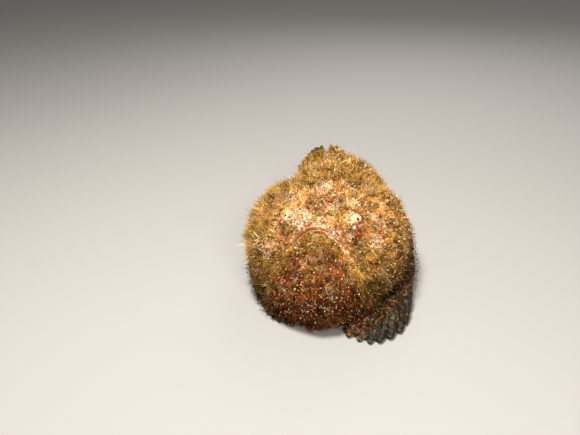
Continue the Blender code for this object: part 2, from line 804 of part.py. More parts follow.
def wart(place, normal, radius, height):
    """A rounded tubercle of skin."""
    side = normal.orthogonal().normalized()
    other = normal.cross(side)
    rows = []
    for rise, wide in ((-0.6, 1.0), (0.55, 0.72)):
        ring = []
        for step in range(5):
            turn = step * math.pi / 2.5 + rise
            reach = (side * math.cos(turn) + other * math.sin(turn)) * wide * radius
            ring.append(tuple(place + normal * height * rise + reach))
        rows.append(ring)
    low = tuple(place - normal * height * 0.8)
    return mesh_object("wart", *ring_surface(rows, low, tuple(place + normal * height * 1.05)))


def touches(piece, tree, clearance):
    """Whether the piece crosses a tree of meshes or comes within the clearance of it."""
    mesh = piece.data
    vertices = [vertex.co for vertex in mesh.vertices]
    own = BVHTree.FromPolygons(vertices, [tuple(face.vertices) for face in mesh.polygons])
    if own.overlap(tree):
        return True
    return any(tree.find_nearest(point, clearance)[0] is not None for point in vertices)


def far_from(place, points, distance):
    return all((place - Vector(point)).length > distance for point in points)


def overgrown(place):
    """How much longer the locks grow at this place: they are longest on the right cheek."""
    gap = (place - Vector(THICKEST_GROWTH)).length
    return 1.0 + THICKEST_EXTRA * max(0.0, 1.0 - gap / THICKEST_REACH)


def growth(item, others, seed, lock_spacing, wart_spacing, lock_size):
    """Locks of algae and warts for one part of the body, clear of its neighbours."""
    draw = np.random.default_rng(seed)
    tree = skin_tree(others)
    eyes = [Vector(centre) for centre in both_sides(EYE_CENTRE)]
    locks = scattered(item, lock_spacing, 2500, seed)
    warts = scattered(item, wart_spacing, 1500, seed + 50)
    pieces = []
    for place, normal in locks:
        size = lock_size * (0.8 + 0.45 * draw.random()) * overgrown(place)
        twist = draw.uniform(-0.5, 0.5)
        if can_grow(place, normal, eyes):
            pieces.append(algae_lock(place, normal, size, twist, LOCK_SINK))
    for place, normal in warts:
        radius = WART_RADIUS * (0.75 + 0.6 * draw.random())
        if can_grow(place, normal, eyes):
            pieces.append(wart(place, normal, radius, radius * 0.75))
    return clear_of(pieces, tree)


def can_grow(place, normal, eyes):
    """Whether something grows here: off the seabed and clear of the eyes and the mouth."""
    if normal.z < -0.25 or place.z < 0.010:
        return False
    return far_from(place, eyes, BARE_ROUND_EYES) and far_from(place, MOUTH_LINE, BARE_ROUND_MOUTH)


def clear_of(pieces, tree):
    """The pieces that keep clear of the tree. The others are removed."""
    kept = [piece for piece in pieces if not touches(piece, tree, GAP * 2.0)]
    remove([piece for piece in pieces if piece not in kept])
    return kept


def fin_growth(fin, others, seed):
    """Locks of algae on the outer face of a pectoral fin, over its thick root half."""
    draw = np.random.default_rng(seed)
    pieces = []
    for place, normal in scattered(fin, FIN_LOCK_SPACING, 900, seed):
        if normal.z < 0.15 or place.z < 0.012:
            continue
        size = FIN_LOCK_SIZE * (0.8 + 0.4 * draw.random())
        pieces.append(algae_lock(place, normal, size, draw.uniform(-0.4, 0.4), FIN_LOCK_SINK))
    return clear_of(pieces, skin_tree(others))


def lip_fringe(tree):
    """A row of short locks just under the lower lip that stand up towards the mouth."""
    line = np.array(MOUTH_LINE)
    pieces = []
    draw = np.random.default_rng(5)
    for share in np.linspace(0.04, 0.96, FRINGE_LOCKS):
        spot = through(line, np.array([share]))[0]
        middle = Vector((0.0, -0.075, 0.052))
        down = Vector((-spot[0] * 14.0, -0.35, -1.0)).normalized()
        near = Vector(spot) + down * 0.0085
        place, normal, _, _ = tree.find_nearest(near)
        if normal.dot(place - middle) < 0.0:
            normal = -normal
        size = FRINGE_SIZE * (0.85 + 0.3 * draw.random())
        pieces.append(lip_lock(place, normal, -down, size))
    return pieces


def lip_lock(place, normal, up, size):
    side = normal.cross(up).normalized()
    rows = []
    for middle, wide, thick in (
        (normal * -0.003, 0.34 * size, 0.30 * size),
        (normal * 0.30 * size + up * 0.10 * size, 0.50 * size, 0.26 * size),
    ):
        ring = (side * wide, normal * thick, side * -wide)
        rows.append([tuple(place + middle + offset) for offset in ring])
    root = place - normal * 0.0034
    tip = place + normal * 0.75 * size + up * 0.62 * size
    return mesh_object("fringe", *ring_surface(rows, tuple(root), tuple(tip)))


def ring_piece(name, centre, facing, ring_radius, thickness, segments, sides):
    bpy.ops.mesh.primitive_torus_add(
        major_radius=ring_radius,
        minor_radius=thickness,
        major_segments=segments,
        minor_segments=sides,
        location=centre,
        rotation=Vector(facing).to_track_quat("Z", "Y").to_euler(),
    )
    ring = bpy.context.object
    ring.name = name
    ring.data.transform(ring.matrix_world)
    ring.matrix_world.identity()
    return ring


def face_rings():
    """A raised lid round each eye and a small raised rim round each nostril."""
    rings = []
    for side in (1.0, -1.0):
        facing = Vector((EYE_FACING[0] * side, EYE_FACING[1], EYE_FACING[2])).normalized()
        eye = Vector((EYE_CENTRE[0] * side, EYE_CENTRE[1], EYE_CENTRE[2]))
        rings.append(ring_piece("lid", eye + facing * 0.0008, facing, LID_RING_RADIUS, LID_THICKNESS, 12, 6))
        root = np.array([[NOSTRIL_ROOT[0] * side, NOSTRIL_ROOT[1], NOSTRIL_ROOT[2]]])
        outward = np.array([[NOSTRIL_FACING[0] * side, NOSTRIL_FACING[1], NOSTRIL_FACING[2]]])
        nostril = surface_hits(flesh, root, outward, reach=0.06)[0]
        rings.append(ring_piece("nostril", nostril, outward[0], 0.0020, 0.0010, 8, 4))
    return rings


def ball(name, centre, radius, segments, rings):
    bpy.ops.mesh.primitive_uv_sphere_add(radius=radius, location=centre, segments=segments, ring_count=rings)
    item = bpy.context.object
    item.name = name
    item.data.transform(item.matrix_world)
    item.matrix_world.identity()
    return item


def finish(item, slot):
    colour, roughness = COLOURS[slot]
    material = bpy.data.materials.get(slot) or bpy.data.materials.new(slot)
    material.use_nodes = True
    shader = material.node_tree.nodes["Principled BSDF"]
    shader.inputs["Base Color"].default_value = colour
    shader.inputs["Roughness"].default_value = roughness
    shader.inputs["Metallic"].default_value = 0.0
    item.data.materials.clear()
    item.data.materials.append(material)


def settle(items):
    """Move everything so that the middle of the whole fish's base is the origin."""
    corners = []
    for item in items:
        corners += [vertex.co for vertex in item.data.vertices]
    places = np.array(corners)
    low = places.min(axis=0)
    high = places.max(axis=0)
    shift = np.array(((low[0] + high[0]) / 2.0, (low[1] + high[1]) / 2.0, low[2]))
    for item in items:
        shape_by(item, lambda p: p - shift)


def clear_scene():
    for item in list(bpy.data.objects):
        bpy.data.objects.remove(item)


def main():
    clear_scene()
    parts = body_parts()
    grown = body_form("grown_body", grow=GAP * 1.3)
    shape_by(grown, curled)
    block = floor_block()
    fins = {}
    for side, letter in ((1.0, "L"), (-1.0, "R")):
        fins["pectoral_fin_" + letter] = pectoral_fin("pectoral_fin_" + letter, side)
        fins["pelvic_fin_" + letter] = pelvic_fin("pelvic_fin_" + letter, side)
    fins["dorsal_fin_spiny"] = dorsal_spiny()
    fins["dorsal_fin_soft"] = dorsal_soft()
    fins["anal_fin"] = anal_fin()
    fins["tail_fin"] = tail_fin()
    for fin in fins.values():
        cut(fin, grown)
        cut(fin, block)
    remove([grown])
    eyes = {}
    for side, letter in ((1.0, "L"), (-1.0, "R")):
        centre = (EYE_CENTRE[0] * side, EYE_CENTRE[1], EYE_CENTRE[2])
        eyes["eye_" + letter] = ball("eye_" + letter, centre, EYE_RADIUS, 12, 8)
        eyes["socket_" + letter] = ball("socket_" + letter, centre, EYE_RADIUS + GAP, 12, 8)
    for seed, (name, (lock_spacing, wart_spacing, lock_size)) in enumerate(GROWTH.items()):
        others = [parts[other] for other in parts if other != name] + list(fins.values())
        pieces = growth(parts[name], others, seed + 11, lock_spacing, wart_spacing, lock_size)
        if name == "head":
            pieces += face_rings()
        if name == "lower_jaw":
            pieces += lip_fringe(skin_tree([parts[name]]))
        fuse(parts[name], pieces)
        cut(parts[name], block)
    for seed, letter in enumerate(("L", "R")):
        fin = fins["pectoral_fin_" + letter]
        fuse(fin, fin_growth(fin, list(parts.values()), seed + 31))
    for letter in ("L", "R"):
        cut(parts["head"], eyes["socket_" + letter])
        remove([eyes.pop("socket_" + letter)])
    remove([block])
    for name, item in parts.items():
        item.name = name
        finish(item, "jaw_skin" if name == "lower_jaw" else "algae_skin")
    for item in fins.values():
        finish(item, "fin_skin")
    for item in eyes.values():
        finish(item, "eye")
    settle([*parts.values(), *fins.values(), *eyes.values()])


main()
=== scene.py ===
"""A reef stonefish at rest on the bottom, life size, its skin overgrown with turf algae.

The fish faces -Y and its left side is +X. All sizes are in metres. It is shaped straight, as the
solids were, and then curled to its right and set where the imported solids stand.
"""

import math

import bmesh
import bpy
import numpy as np
from mathutils import Matrix, Vector
from mathutils.kdtree import KDTree


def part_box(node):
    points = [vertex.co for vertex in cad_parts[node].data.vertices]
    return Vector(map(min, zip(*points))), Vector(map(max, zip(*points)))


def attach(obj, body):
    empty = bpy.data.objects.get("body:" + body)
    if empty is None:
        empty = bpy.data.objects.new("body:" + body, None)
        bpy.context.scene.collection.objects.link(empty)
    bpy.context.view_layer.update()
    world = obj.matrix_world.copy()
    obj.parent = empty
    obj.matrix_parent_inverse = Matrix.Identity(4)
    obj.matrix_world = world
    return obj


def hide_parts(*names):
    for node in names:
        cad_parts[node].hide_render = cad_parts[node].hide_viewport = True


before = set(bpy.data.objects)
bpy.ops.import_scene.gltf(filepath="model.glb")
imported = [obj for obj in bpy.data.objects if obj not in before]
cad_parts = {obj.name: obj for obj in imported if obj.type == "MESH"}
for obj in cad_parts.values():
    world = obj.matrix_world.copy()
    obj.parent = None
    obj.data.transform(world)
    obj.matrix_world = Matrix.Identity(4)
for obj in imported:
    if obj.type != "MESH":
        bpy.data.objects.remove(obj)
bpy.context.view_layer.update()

# Head and body: thick loose flesh over a broad skull, a great upturned jaw and a short tail stem.
# It is one soft blend of rounded masses with hollows pressed into it, cast as a fine net of rings.

BLEND = 0.014
MASSES = (
    ("chin", (0.0, -0.085, 0.033), (0.050, 0.049, 0.049)),
    ("jaw_front", (0.0, -0.080, 0.062), (0.041, 0.038, 0.045)),
    ("skull", (0.0, -0.046, 0.060), (0.067, 0.058, 0.046)),
    ("cheek", (0.045, -0.050, 0.047), (0.032, 0.044, 0.042)),
    ("gill_cover", (0.050, -0.016, 0.054), (0.030, 0.037, 0.041)),
    ("belly", (0.0, 0.004, 0.050), (0.068, 0.076, 0.051)),
    ("nape", (0.0, -0.002, 0.076), (0.040, 0.060, 0.035)),
    ("back", (0.0, 0.044, 0.064), (0.037, 0.056, 0.037)),
    ("flank", (0.0, 0.046, 0.051), (0.049, 0.056, 0.044)),
    ("tail_stem", (0.0, 0.094, 0.049), (0.018, 0.046, 0.024)),
    ("eye_mound", (0.0275, -0.078, 0.098), (0.013, 0.014, 0.014)),
    ("brow", (0.0225, -0.054, 0.099), (0.011, 0.016, 0.011)),
    ("snout", (0.0, -0.088, 0.099), (0.018, 0.013, 0.009)),
)
PIT_BLEND = 0.008
PITS = (
    ("between_eyes", (0.0, -0.068, 0.113), (0.014, 0.020, 0.017)),
    ("behind_eyes", (0.0, -0.033, 0.121), (0.024, 0.013, 0.015)),
    ("under_eye", (0.044, -0.098, 0.082), (0.008, 0.008, 0.008)),
    ("throat", (0.0, -0.068, -0.012), (0.047, 0.030, 0.019)),
)
AXIS_START = np.array((0.0, -0.070, 0.050))
AXIS_END = np.array((0.0, 0.112, 0.048))
CURL_START_Y = 0.045
CURL_RADIUS = 0.093
EYE_CENTRE = np.array((0.0330, -0.0840, 0.1035))
MIRROR = np.array((-1.0, 1.0, 1.0))

eye_low, eye_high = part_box("eye_L")
SETTLE = (np.array(eye_low) + np.array(eye_high)) / 2.0 - EYE_CENTRE


def ellipsoid(points, centre, radii):
    """Rough signed distance from the points to an ellipsoid, negative inside it."""
    scaled = (points - np.array(centre)) / np.array(radii)
    reach = np.linalg.norm(scaled, axis=1)
    slope = np.linalg.norm(scaled / np.array(radii), axis=1)
    return reach * (reach - 1.0) / np.maximum(slope, 1e-6)


def blended(first, second, width):
    """Smooth union of two distances."""
    share = np.clip(0.5 + 0.5 * (second - first) / width, 0.0, 1.0)
    return second + (first - second) * share - width * share * (1.0 - share)


def both_sides(centre):
    """The centre, with its mirror image when it is off the midline."""
    if centre[0] == 0.0:
        return [centre]
    return [centre, (-centre[0], centre[1], centre[2])]


def flesh(points):
    """Signed distance to the bare head and body."""
    distance = np.full(len(points), 1.0)
    for _, centre, radii in MASSES:
        for place in both_sides(centre):
            distance = blended(distance, ellipsoid(points, place, radii), BLEND)
    for _, centre, radii in PITS:
        for place in both_sides(centre):
            distance = -blended(-distance, ellipsoid(points, place, radii), PIT_BLEND)
    return distance


def surface_hits(origins, directions, reach=0.120, steps=28):
    """Where rays from inside the flesh leave it for the last time."""
    along = np.linspace(reach, 0.0, steps)
    outer = np.full(len(origins), reach)
    inner = np.zeros(len(origins))
    found = np.zeros(len(origins), bool)
    for near, far in zip(along[1:], along[:-1]):
        inside = flesh(origins + directions * near) < 0.0
        fresh = inside & ~found
        inner[fresh] = near
        outer[fresh] = far
        found |= inside
    for _ in range(14):
        middle = (inner + outer) / 2.0
        inside = flesh(origins + directions * middle[:, None]) < 0.0
        inner = np.where(inside, middle, inner)
        outer = np.where(inside, outer, middle)
    return origins + directions * inner[:, None]


def curled(points):
    """The straight fish's points with its rear half bent round to its right."""
    points = np.array(points, float)
    angle = np.maximum(points[..., 1] - CURL_START_Y, 0.0) / CURL_RADIUS
    arm = CURL_RADIUS + points[..., 0]
    bent = points.copy()
    rear = angle > 0.0
    bent[..., 0] = np.where(rear, arm * np.cos(angle) - CURL_RADIUS, points[..., 0])
    bent[..., 1] = np.where(rear, CURL_START_Y + arm * np.sin(angle), points[..., 1])
    return bent


def straightened(points):
    """The curled fish's points with its rear half laid straight again."""
    across = points[:, 0] + CURL_RADIUS
    behind = points[:, 1] - CURL_START_Y
    rear = behind > 0.0
    straight = points.copy()
    straight[:, 0] = np.where(rear, np.hypot(across, behind) - CURL_RADIUS, points[:, 0])
    turned = CURL_START_Y + np.arctan2(behind, across) * CURL_RADIUS
    straight[:, 1] = np.where(rear, turned, points[:, 1])
    return straight


def unit(vectors):
    """The vectors with their lengths made 1."""
    return vectors / np.linalg.norm(vectors, axis=-1, keepdims=True)


def placed(name, data):
    """A new object of the data, in the scene."""
    item = bpy.data.objects.new(name, data)
    bpy.context.scene.collection.objects.link(item)
    return item


def mesh_object(name, vertices, faces):
    """A new mesh object whose faces all look outwards."""
    mesh = bpy.data.meshes.new(name)
    mesh.from_pydata(np.asarray(vertices).tolist(), [], faces)
    shell = bmesh.new()
    shell.from_mesh(mesh)
    bmesh.ops.recalc_face_normals(shell, faces=shell.faces)
    shell.to_mesh(mesh)
    shell.free()
    return placed(name, mesh)


def ring_faces(rings, columns):
    """Faces of a closed surface of equal rings between two poles, the poles first and last."""
    faces = []
    last = 1 + (rings - 1) * columns
    for column in range(columns):
        following = (column + 1) % columns
        faces.append((0, 1 + following, 1 + column))
        for row in range(rings - 1):
            near = 1 + row * columns
            far = near + columns
            faces.append((near + column, near + following, far + following, far + column))
        faces.append((last + column, last + following, last + columns))
    return faces


def body_net(front_rings=30, middle_rings=70, tail_rings=10, columns=150):
    """The bare body as a closed net of rings round the spine, from the chin to the tail stem."""
    around = np.arange(columns) * 2.0 * math.pi / columns
    radial = np.stack([np.sin(around), np.zeros(columns), np.cos(around)], axis=1)
    rings = [(AXIS_START, ring / front_rings - 1.0) for ring in range(1, front_rings)]
    for ring in range(middle_rings + 1):
        share = ring / middle_rings
        rings.append((AXIS_START * (1.0 - share) + AXIS_END * share, 0.0))
    rings += [(AXIS_END, ring / tail_rings) for ring in range(1, tail_rings)]
    origins = []
    directions = []
    for centre, quarter in rings:
        lean = math.pi / 2.0 * quarter
        origins.append(np.repeat(centre[None], columns, axis=0))
        directions.append(radial * math.cos(lean) + np.array((0.0, math.sin(lean), 0.0)))
    poles = surface_hits(
        np.array((AXIS_START, AXIS_END)), np.array(((0.0, -1.0, 0.0), (0.0, 1.0, 0.0)))
    )
    net = surface_hits(np.concatenate(origins), np.concatenate(directions))
    places = np.concatenate([poles[:1], net, poles[1:]])
    return mesh_object("body_net", curled(places), ring_faces(len(rings), columns))


body = body_net()

# Fins: fleshy fans of thick rays webbed with skin. The two great pectorals spread on the bottom
# beside the jaw, and the low dorsal web carries thirteen skin-covered spines along the back.

PECTORAL_RAYS = 15
PECTORAL_ROOT = ((-0.068, 0.009), (-0.062, 0.013), (-0.047, 0.022), (-0.027, 0.036), (-0.006, 0.052))
PECTORAL_EDGE = {
    1.0: (
        (0.028, -0.131, 0.0020),
        (0.060, -0.139, 0.0020),
        (0.086, -0.111, 0.0020),
        (0.089, -0.055, 0.0030),
        (0.084, 0.000, 0.0110),
        (0.078, 0.038, 0.0310),
    ),
    -1.0: (
        (0.017, -0.124, 0.0020),
        (0.039, -0.119, 0.0020),
        (0.060, -0.090, 0.0020),
        (0.074, -0.046, 0.0030),
        (0.081, 0.004, 0.0110),
        (0.080, 0.040, 0.0310),
    ),
}
DORSAL_SPINES = 13
DORSAL_START_Y = -0.030
DORSAL_END_Y = 0.066
DORSAL_WEB = 0.0060
DORSAL_SPINE = 0.0110
PELVIC_RAYS = 6
SOFT_RAYS = 6
ANAL_RAYS = 7
TAIL_RAYS = 11
TAIL_ROOT_Y = 0.1185
TAIL_ROOT_Z = 0.0490
TAIL_ROOT_HALF = 0.017
TAIL_LENGTH = 0.040
TAIL_TIP_UP = math.radians(27.0)
TAIL_SPREAD = math.radians(49.0)


def through(points, share):
    """A smooth curve through evenly spaced points, at each share of its length."""
    points = np.array(points, float)
    knots = np.linspace(0.0, 1.0, len(points))
    slopes = np.gradient(points, knots, axis=0)
    index = np.clip((share * (len(points) - 1)).astype(int), 0, len(points) - 2)
    step = knots[1]
    t = ((share - knots[index]) / step)[:, None]
    start = points[index] * (2 * t**3 - 3 * t**2 + 1) + slopes[index] * step * (t**3 - 2 * t**2 + t)
    end = points[index + 1] * (3 * t**2 - 2 * t**3) + slopes[index + 1] * step * (t**3 - t**2)
    return start + end


def fin_sheet(name, middle, half):
    """A closed fin from its middle surface and half its thickness, curled with the body."""
    middle = curled(middle)
    normal = unit(np.cross(np.gradient(middle, axis=0), np.gradient(middle, axis=1)))
    offset = normal * half[..., None]
    rows, columns = half.shape
    places = np.concatenate([(middle + offset).reshape(-1, 3), (middle - offset).reshape(-1, 3)])
    under = rows * columns
    faces = []
    for i in range(rows - 1):
        for j in range(columns - 1):
            a = i * columns + j
            b = a + columns
            faces.append((a, b, b + 1, a + 1))
            faces.append((a + under, a + 1 + under, b + 1 + under, b + under))
    rim = [i * columns for i in range(rows)]
    rim += [(rows - 1) * columns + j for j in range(1, columns)]
    rim += [i * columns + columns - 1 for i in range(rows - 2, -1, -1)]
    rim += list(range(columns - 2, 0, -1))
    for here, there in zip(rim, rim[1:] + rim[:1]):
        faces.append((here, there, there + under, here + under))
    return mesh_object(name, places, faces)


def on_ray(share, rays):
    """1 along the middle of each ray, falling to 0 in the web between rays."""
    return np.sin(math.pi * share * rays) ** 2


def ray_thickness(share, along, rays, root_half, tip_half, ridge):
    """Half thickness of a fin, with a rounded ridge along each ray."""
    slab = root_half + (tip_half - root_half) * along[None, :]
    return slab + ridge * on_ray(share, rays)[:, None] * (1.0 - 0.35 * along[None, :])


def scalloped(share, rays, depth):
    """Length factor of a fin's edge: full at a ray's tip, drawn in between rays."""
    return 1.0 - depth * (1.0 - np.sqrt(on_ray(share, rays)))


def skin_offset(y, z, direction):
    """Where a level line from the midline at each y and z comes out of the flesh."""
    origins = np.stack([np.zeros_like(y), y, z], axis=1)
    return surface_hits(origins, np.repeat(np.array([direction]), len(y), axis=0))


def skin_height(y, upwards):
    """Height of the midline of the back, or with upwards -1 of the belly, at each y."""
    return skin_offset(y, np.full_like(y, 0.045), (0.0, 0.0, upwards))[:, 2]


def pectoral_fin(name, side):
    share = np.linspace(0.0, 1.0, PECTORAL_RAYS * 10 + 1)
    along = np.linspace(0.0, 1.0, 34)
    root = through(PECTORAL_ROOT, share)
    inner = skin_offset(root[:, 0], root[:, 1], (1.0, 0.0, 0.0))[:, 0] - 0.005
    root = np.concatenate([inner[:, None], root], axis=1)
    edge = through(PECTORAL_EDGE[side], share)
    edge = root + (edge - root) * scalloped(share, PECTORAL_RAYS, 0.11)[:, None]
    grid = root[:, None, :] + (edge - root)[:, None, :] * along[None, :, None]
    arch = np.sin(math.pi * along)[None, :]
    grid[..., 0] += 0.009 * arch * np.sin(math.pi * (0.15 + 0.7 * share))[:, None]
    grid[..., 2] += 0.006 * arch + 0.0016 * np.sin(share * math.pi * 9.0)[:, None] * arch
    grid[..., 0] *= side
    half = ray_thickness(share, along, PECTORAL_RAYS, 0.0028, 0.0011, 0.0010)
    return fin_sheet(name, grid, half)


def pelvic_fin(name, side):
    share = np.linspace(0.0, 1.0, 61)
    along = np.linspace(0.0, 1.0, 20)
    heading = np.radians(12.0 + 40.0 * share)
    length = (0.040 + 0.012 * np.sin(math.pi * share)) * scalloped(share, PELVIC_RAYS, 0.08)
    grid = np.empty((len(share), len(along), 3))
    reach = length[:, None] * along[None, :]
    grid[..., 0] = (0.020 + 0.010 * share)[:, None] + np.sin(heading)[:, None] * reach
    grid[..., 1] = (-0.026 - 0.022 * share)[:, None] + np.cos(heading)[:, None] * reach
    grid[..., 2] = 0.0026
    grid[..., 0] *= side
    return fin_sheet(name, grid, ray_thickness(share, along, PELVIC_RAYS, 0.0016, 0.0010, 0.0006))


def dorsal_spiny(name):
    share = np.linspace(0.0, 1.0, DORSAL_SPINES * 8 + 1)
    along = np.linspace(0.0, 1.0, 22)
    spine = on_ray(share, DORSAL_SPINES)
    turn = np.floor(share * DORSAL_SPINES)
    y = DORSAL_START_Y + (DORSAL_END_Y - DORSAL_START_Y) * share
    web = DORSAL_WEB - 0.0015 * share
    height = web + (DORSAL_SPINE - 0.0035 * share) * spine**2 * np.where(turn == 0, 0.6, 1.0)
    lean = np.where(turn % 2 == 0, 0.24, -0.28) * spine
    rise = height[:, None] * along - 0.0040 * (1.0 - along)
    grid = np.empty((len(share), len(along), 3))
    grid[..., 0] = (lean * height)[:, None] * along**1.5
    grid[..., 1] = y[:, None] + 0.75 * height[:, None] * along**1.8
    grid[..., 2] = skin_height(y, 1.0)[:, None] + rise
    half = 0.0036 - 0.0027 * along[None, :] + 0.0011 * spine[:, None] * (1.0 - along[None, :] ** 2)
    return fin_sheet(name, grid, half)


def soft_fin(name, root, tip, share, rays, thickness, scallop):
    """A fin of soft rays from a line of root points to a line of tip points."""
    along = np.linspace(0.0, 1.0, 18)
    reach = along[None, :, None] * scalloped(share, rays, scallop)[:, None, None]
    grid = root[:, None, :] + (tip - root)[:, None, :] * reach
    return fin_sheet(name, grid, ray_thickness(share, along, rays, *thickness))


def dorsal_soft(name):
    share = np.linspace(0.0, 1.0, 49)
    y = 0.080 + 0.018 * share
    root = np.stack([np.zeros_like(y), y, skin_height(y, 1.0) - 0.004], axis=1)
    root_shade_tip_light = 0.015 + 0.004 * np.sin(math.pi * share)
    tip = root + np.stack([0.003 + 0 * y, 0.70 * root_shade_tip_light + 0.004 * share, root_shade_tip_light], axis=1)
    return soft_fin(name, root, tip, share, SOFT_RAYS, (0.0022, 0.0010, 0.0006), 0.10)


def anal_fin(name):
    share = np.linspace(0.0, 1.0, 57)
    y = 0.066 + 0.030 * share
    root = np.stack([0.002 + 0 * y, y, skin_height(y, -1.0) + 0.004], axis=1)
    out = 0.014 + 0.004 * np.sin(math.pi * share)
    tip = np.stack([out, y + 0.014 + 0.008 * share, np.full_like(y, 0.0020)], axis=1)
    return soft_fin(name, root, tip, share, ANAL_RAYS, (0.0020, 0.0010, 0.0006), 0.08)


def tail_fin(name):
    share = np.linspace(0.0, 1.0, TAIL_RAYS * 8 + 1)
    side = share * 2.0 - 1.0
    spread = TAIL_TIP_UP + TAIL_SPREAD * side
    length = TAIL_LENGTH * (1.0 - 0.08 * side**2) * scalloped(share, TAIL_RAYS, 0.06)
    root_half = TAIL_ROOT_HALF * side[:, None]
    along = np.linspace(0.0, 1.0, 30)
    reach = length[:, None] * along[None, :]
    grid = np.empty((len(share), len(along), 3))
    wave = 0.0012 * np.sin(side * 9.0)[:, None] * along
    grid[..., 0] = wave - 0.003 * np.sin(math.pi * along)
    grid[..., 1] = TAIL_ROOT_Y - math.sin(TAIL_TIP_UP) * root_half + np.cos(spread)[:, None] * reach
    grid[..., 2] = TAIL_ROOT_Z + math.cos(TAIL_TIP_UP) * root_half + np.sin(spread)[:, None] * reach
    return fin_sheet(name, grid, ray_thickness(share, along, TAIL_RAYS, 0.0026, 0.0010, 0.0007))


fins = [
    pectoral_fin("left_pectoral", 1.0),
    pectoral_fin("right_pectoral", -1.0),
    pelvic_fin("left_pelvic", 1.0),
    pelvic_fin("right_pelvic", -1.0),
    dorsal_spiny("spiny_dorsal"),
    dorsal_soft("soft_dorsal"),
    anal_fin("anal"),
    tail_fin("tail"),
]

# Lids and nostrils: a thick wrinkled lid above and below each small eye, and a short skin tube
# round each nostril. They are rolls of skin that the body's surface closes over.

EYE_FACING = {1.0: np.array((0.60, -0.57, 0.56)), -1.0: np.array((-0.20, -0.88, 0.30))}
EYE_RADIUS = 0.0045
NOSTRIL_ROOT = np.array((0.0115, -0.078, 0.088))
NOSTRIL_FACING = np.array((0.10, -0.62, 0.78))


def circle(sides, across, other):
    """Even points of a circle of radius 1 in the plane of two directions."""
    turns = np.arange(sides) * 2.0 * math.pi / sides
    return np.outer(np.cos(turns), across) + np.outer(np.sin(turns), other)


def tube(path, radii, sides, sideways):
    """Vertices of a tapered closed tube. Each ring starts square to its path and sideways direction."""
    along = unit(np.gradient(path, axis=0))
    places = [path[:1]]
    for place, direction, aside, radius in zip(path[1:-1], along[1:-1], sideways[1:-1], radii[1:-1]):
        across = unit(np.cross(direction, aside))
        places.append(place + circle(sides, across, np.cross(direction, across)) * radius)
    return np.concatenate([*places, path[-1:]])


def roll_of_skin(name, path, radii, sides=10):
    """A curved roll along a path of points."""
    outwards = path - path.mean(axis=0) + np.array((0.0, 1e-5, 1e-5))
    return mesh_object(name, tube(path, radii, sides, outwards), ring_faces(len(path) - 2, sides))


def round_frame(facing):
    """The facing direction and two across it: level, and upwards."""
    facing = unit(facing)
    level = unit(np.cross((0.0, 0.0, 1.0), facing))
    return facing, level, np.cross(facing, level)


def lids(name, side):
    """Upper and lower lid of one eye. The upper one is thicker and hangs a little over it."""
    facing, level, up = round_frame(EYE_FACING[side])
    eye = EYE_CENTRE * (MIRROR if side < 0.0 else 1.0)
    pieces = []
    for part, turned, out, thick in (("upper", 1.0, 0.0017, 0.0021), ("lower", -1.0, 0.0010, 0.0017)):
        turn = np.linspace(-0.12, 1.12, 22) * math.pi
        ring = np.cos(turn)[:, None] * level * 0.0056
        ring += (np.sin(turn) * turned)[:, None] * up * (0.0041 if turned > 0.0 else 0.0045)
        path = eye + facing * out + ring
        radii = thick * (0.55 + 0.45 * np.sin(np.linspace(0.0, math.pi, len(turn))))
        pieces.append(roll_of_skin(name + "_" + part, path, radii))
    return pieces


def nostril(name, side):
    mirror = MIRROR if side < 0.0 else 1.0
    facing = NOSTRIL_FACING * mirror
    place = surface_hits((NOSTRIL_ROOT * mirror)[None], facing[None], reach=0.06)[0]
    facing, level, up = round_frame(facing)
    turn = np.linspace(-0.04, 1.96, 20) * math.pi
    ring = np.cos(turn)[:, None] * level + np.sin(turn)[:, None] * up
    path = place + facing * 0.0006 + ring * 0.0020
    return [roll_of_skin(name, path, np.full(len(turn), 0.0010), sides=8)]


folds = lids("left_lid", 1.0) + lids("right_lid", -1.0)
folds += nostril("left_nostril", 1.0) + nostril("right_nostril", -1.0)

# The skin: one unbroken hide over body, fins and lids, warty, wrinkled and slack. The forms above
# are fused into one surface. Then warts, lips and wrinkles are raised in it, and the slit is sunk.

SKIN_GRAIN = 0.00090
MOUTH_TOP = np.array((0.0, -0.1075, 0.110))
MOUTH_HALF_WIDTH = 0.033
MOUTH_DROP = 0.034
GAPE_SLOPE = math.radians(67)
GAPE_DIRECTION = np.array((0.0, math.cos(GAPE_SLOPE), -math.sin(GAPE_SLOPE)))
# Size and height of the hide's lumps, knurls and pimples
LUMPS = (0.0120, 0.0034)
KNURLS = (0.0052, 0.0018)
PIMPLES = (0.0023, 0.0010)
CRUST_PIMPLES = 0.0020
FOLD_HEIGHT = 0.0004
WARTS = 900
WART_LEAST = 0.0016
WART_MORE = 0.0034
# Distance from the slit, width and height of the rolls along the mouth, the last one sunk
UPPER_LIP = (0.0022, 0.0010, 0.0008)
LOWER_LIP = (0.0012, 0.0007, 0.0013)
SLIT = (0.0, 0.0008, 0.0022)


def fused(name, items, grain):
    """Several overlapping closed forms as one even surface."""
    bpy.ops.object.select_all(action="DESELECT")
    for item in items:
        item.select_set(True)
    bpy.context.view_layer.objects.active = items[0]
    bpy.ops.object.join()
    whole = items[0]
    whole.name = name
    remesh = whole.modifiers.new("one_surface", "REMESH")
    remesh.mode = "VOXEL"
    remesh.voxel_size = grain
    remesh.adaptivity = 0.0
    ease = whole.modifiers.new("ease", "SMOOTH")
    ease.factor = 0.5
    ease.iterations = 4
    graph = bpy.context.evaluated_depsgraph_get()
    mesh = bpy.data.meshes.new_from_object(whole.evaluated_get(graph))
    whole.modifiers.clear()
    whole.data = mesh
    return whole


def vectors_of(rows, name):
    """One vector of each row of a mesh, as an array."""
    values = np.empty(len(rows) * 3, np.float32)
    rows.foreach_get(name, values)
    return values.reshape(-1, 3).astype(float)


def vertex_places(mesh):
    return vectors_of(mesh.vertices, "co")


def vertex_normals(mesh):
    return vectors_of(mesh.vertex_normals, "vector")


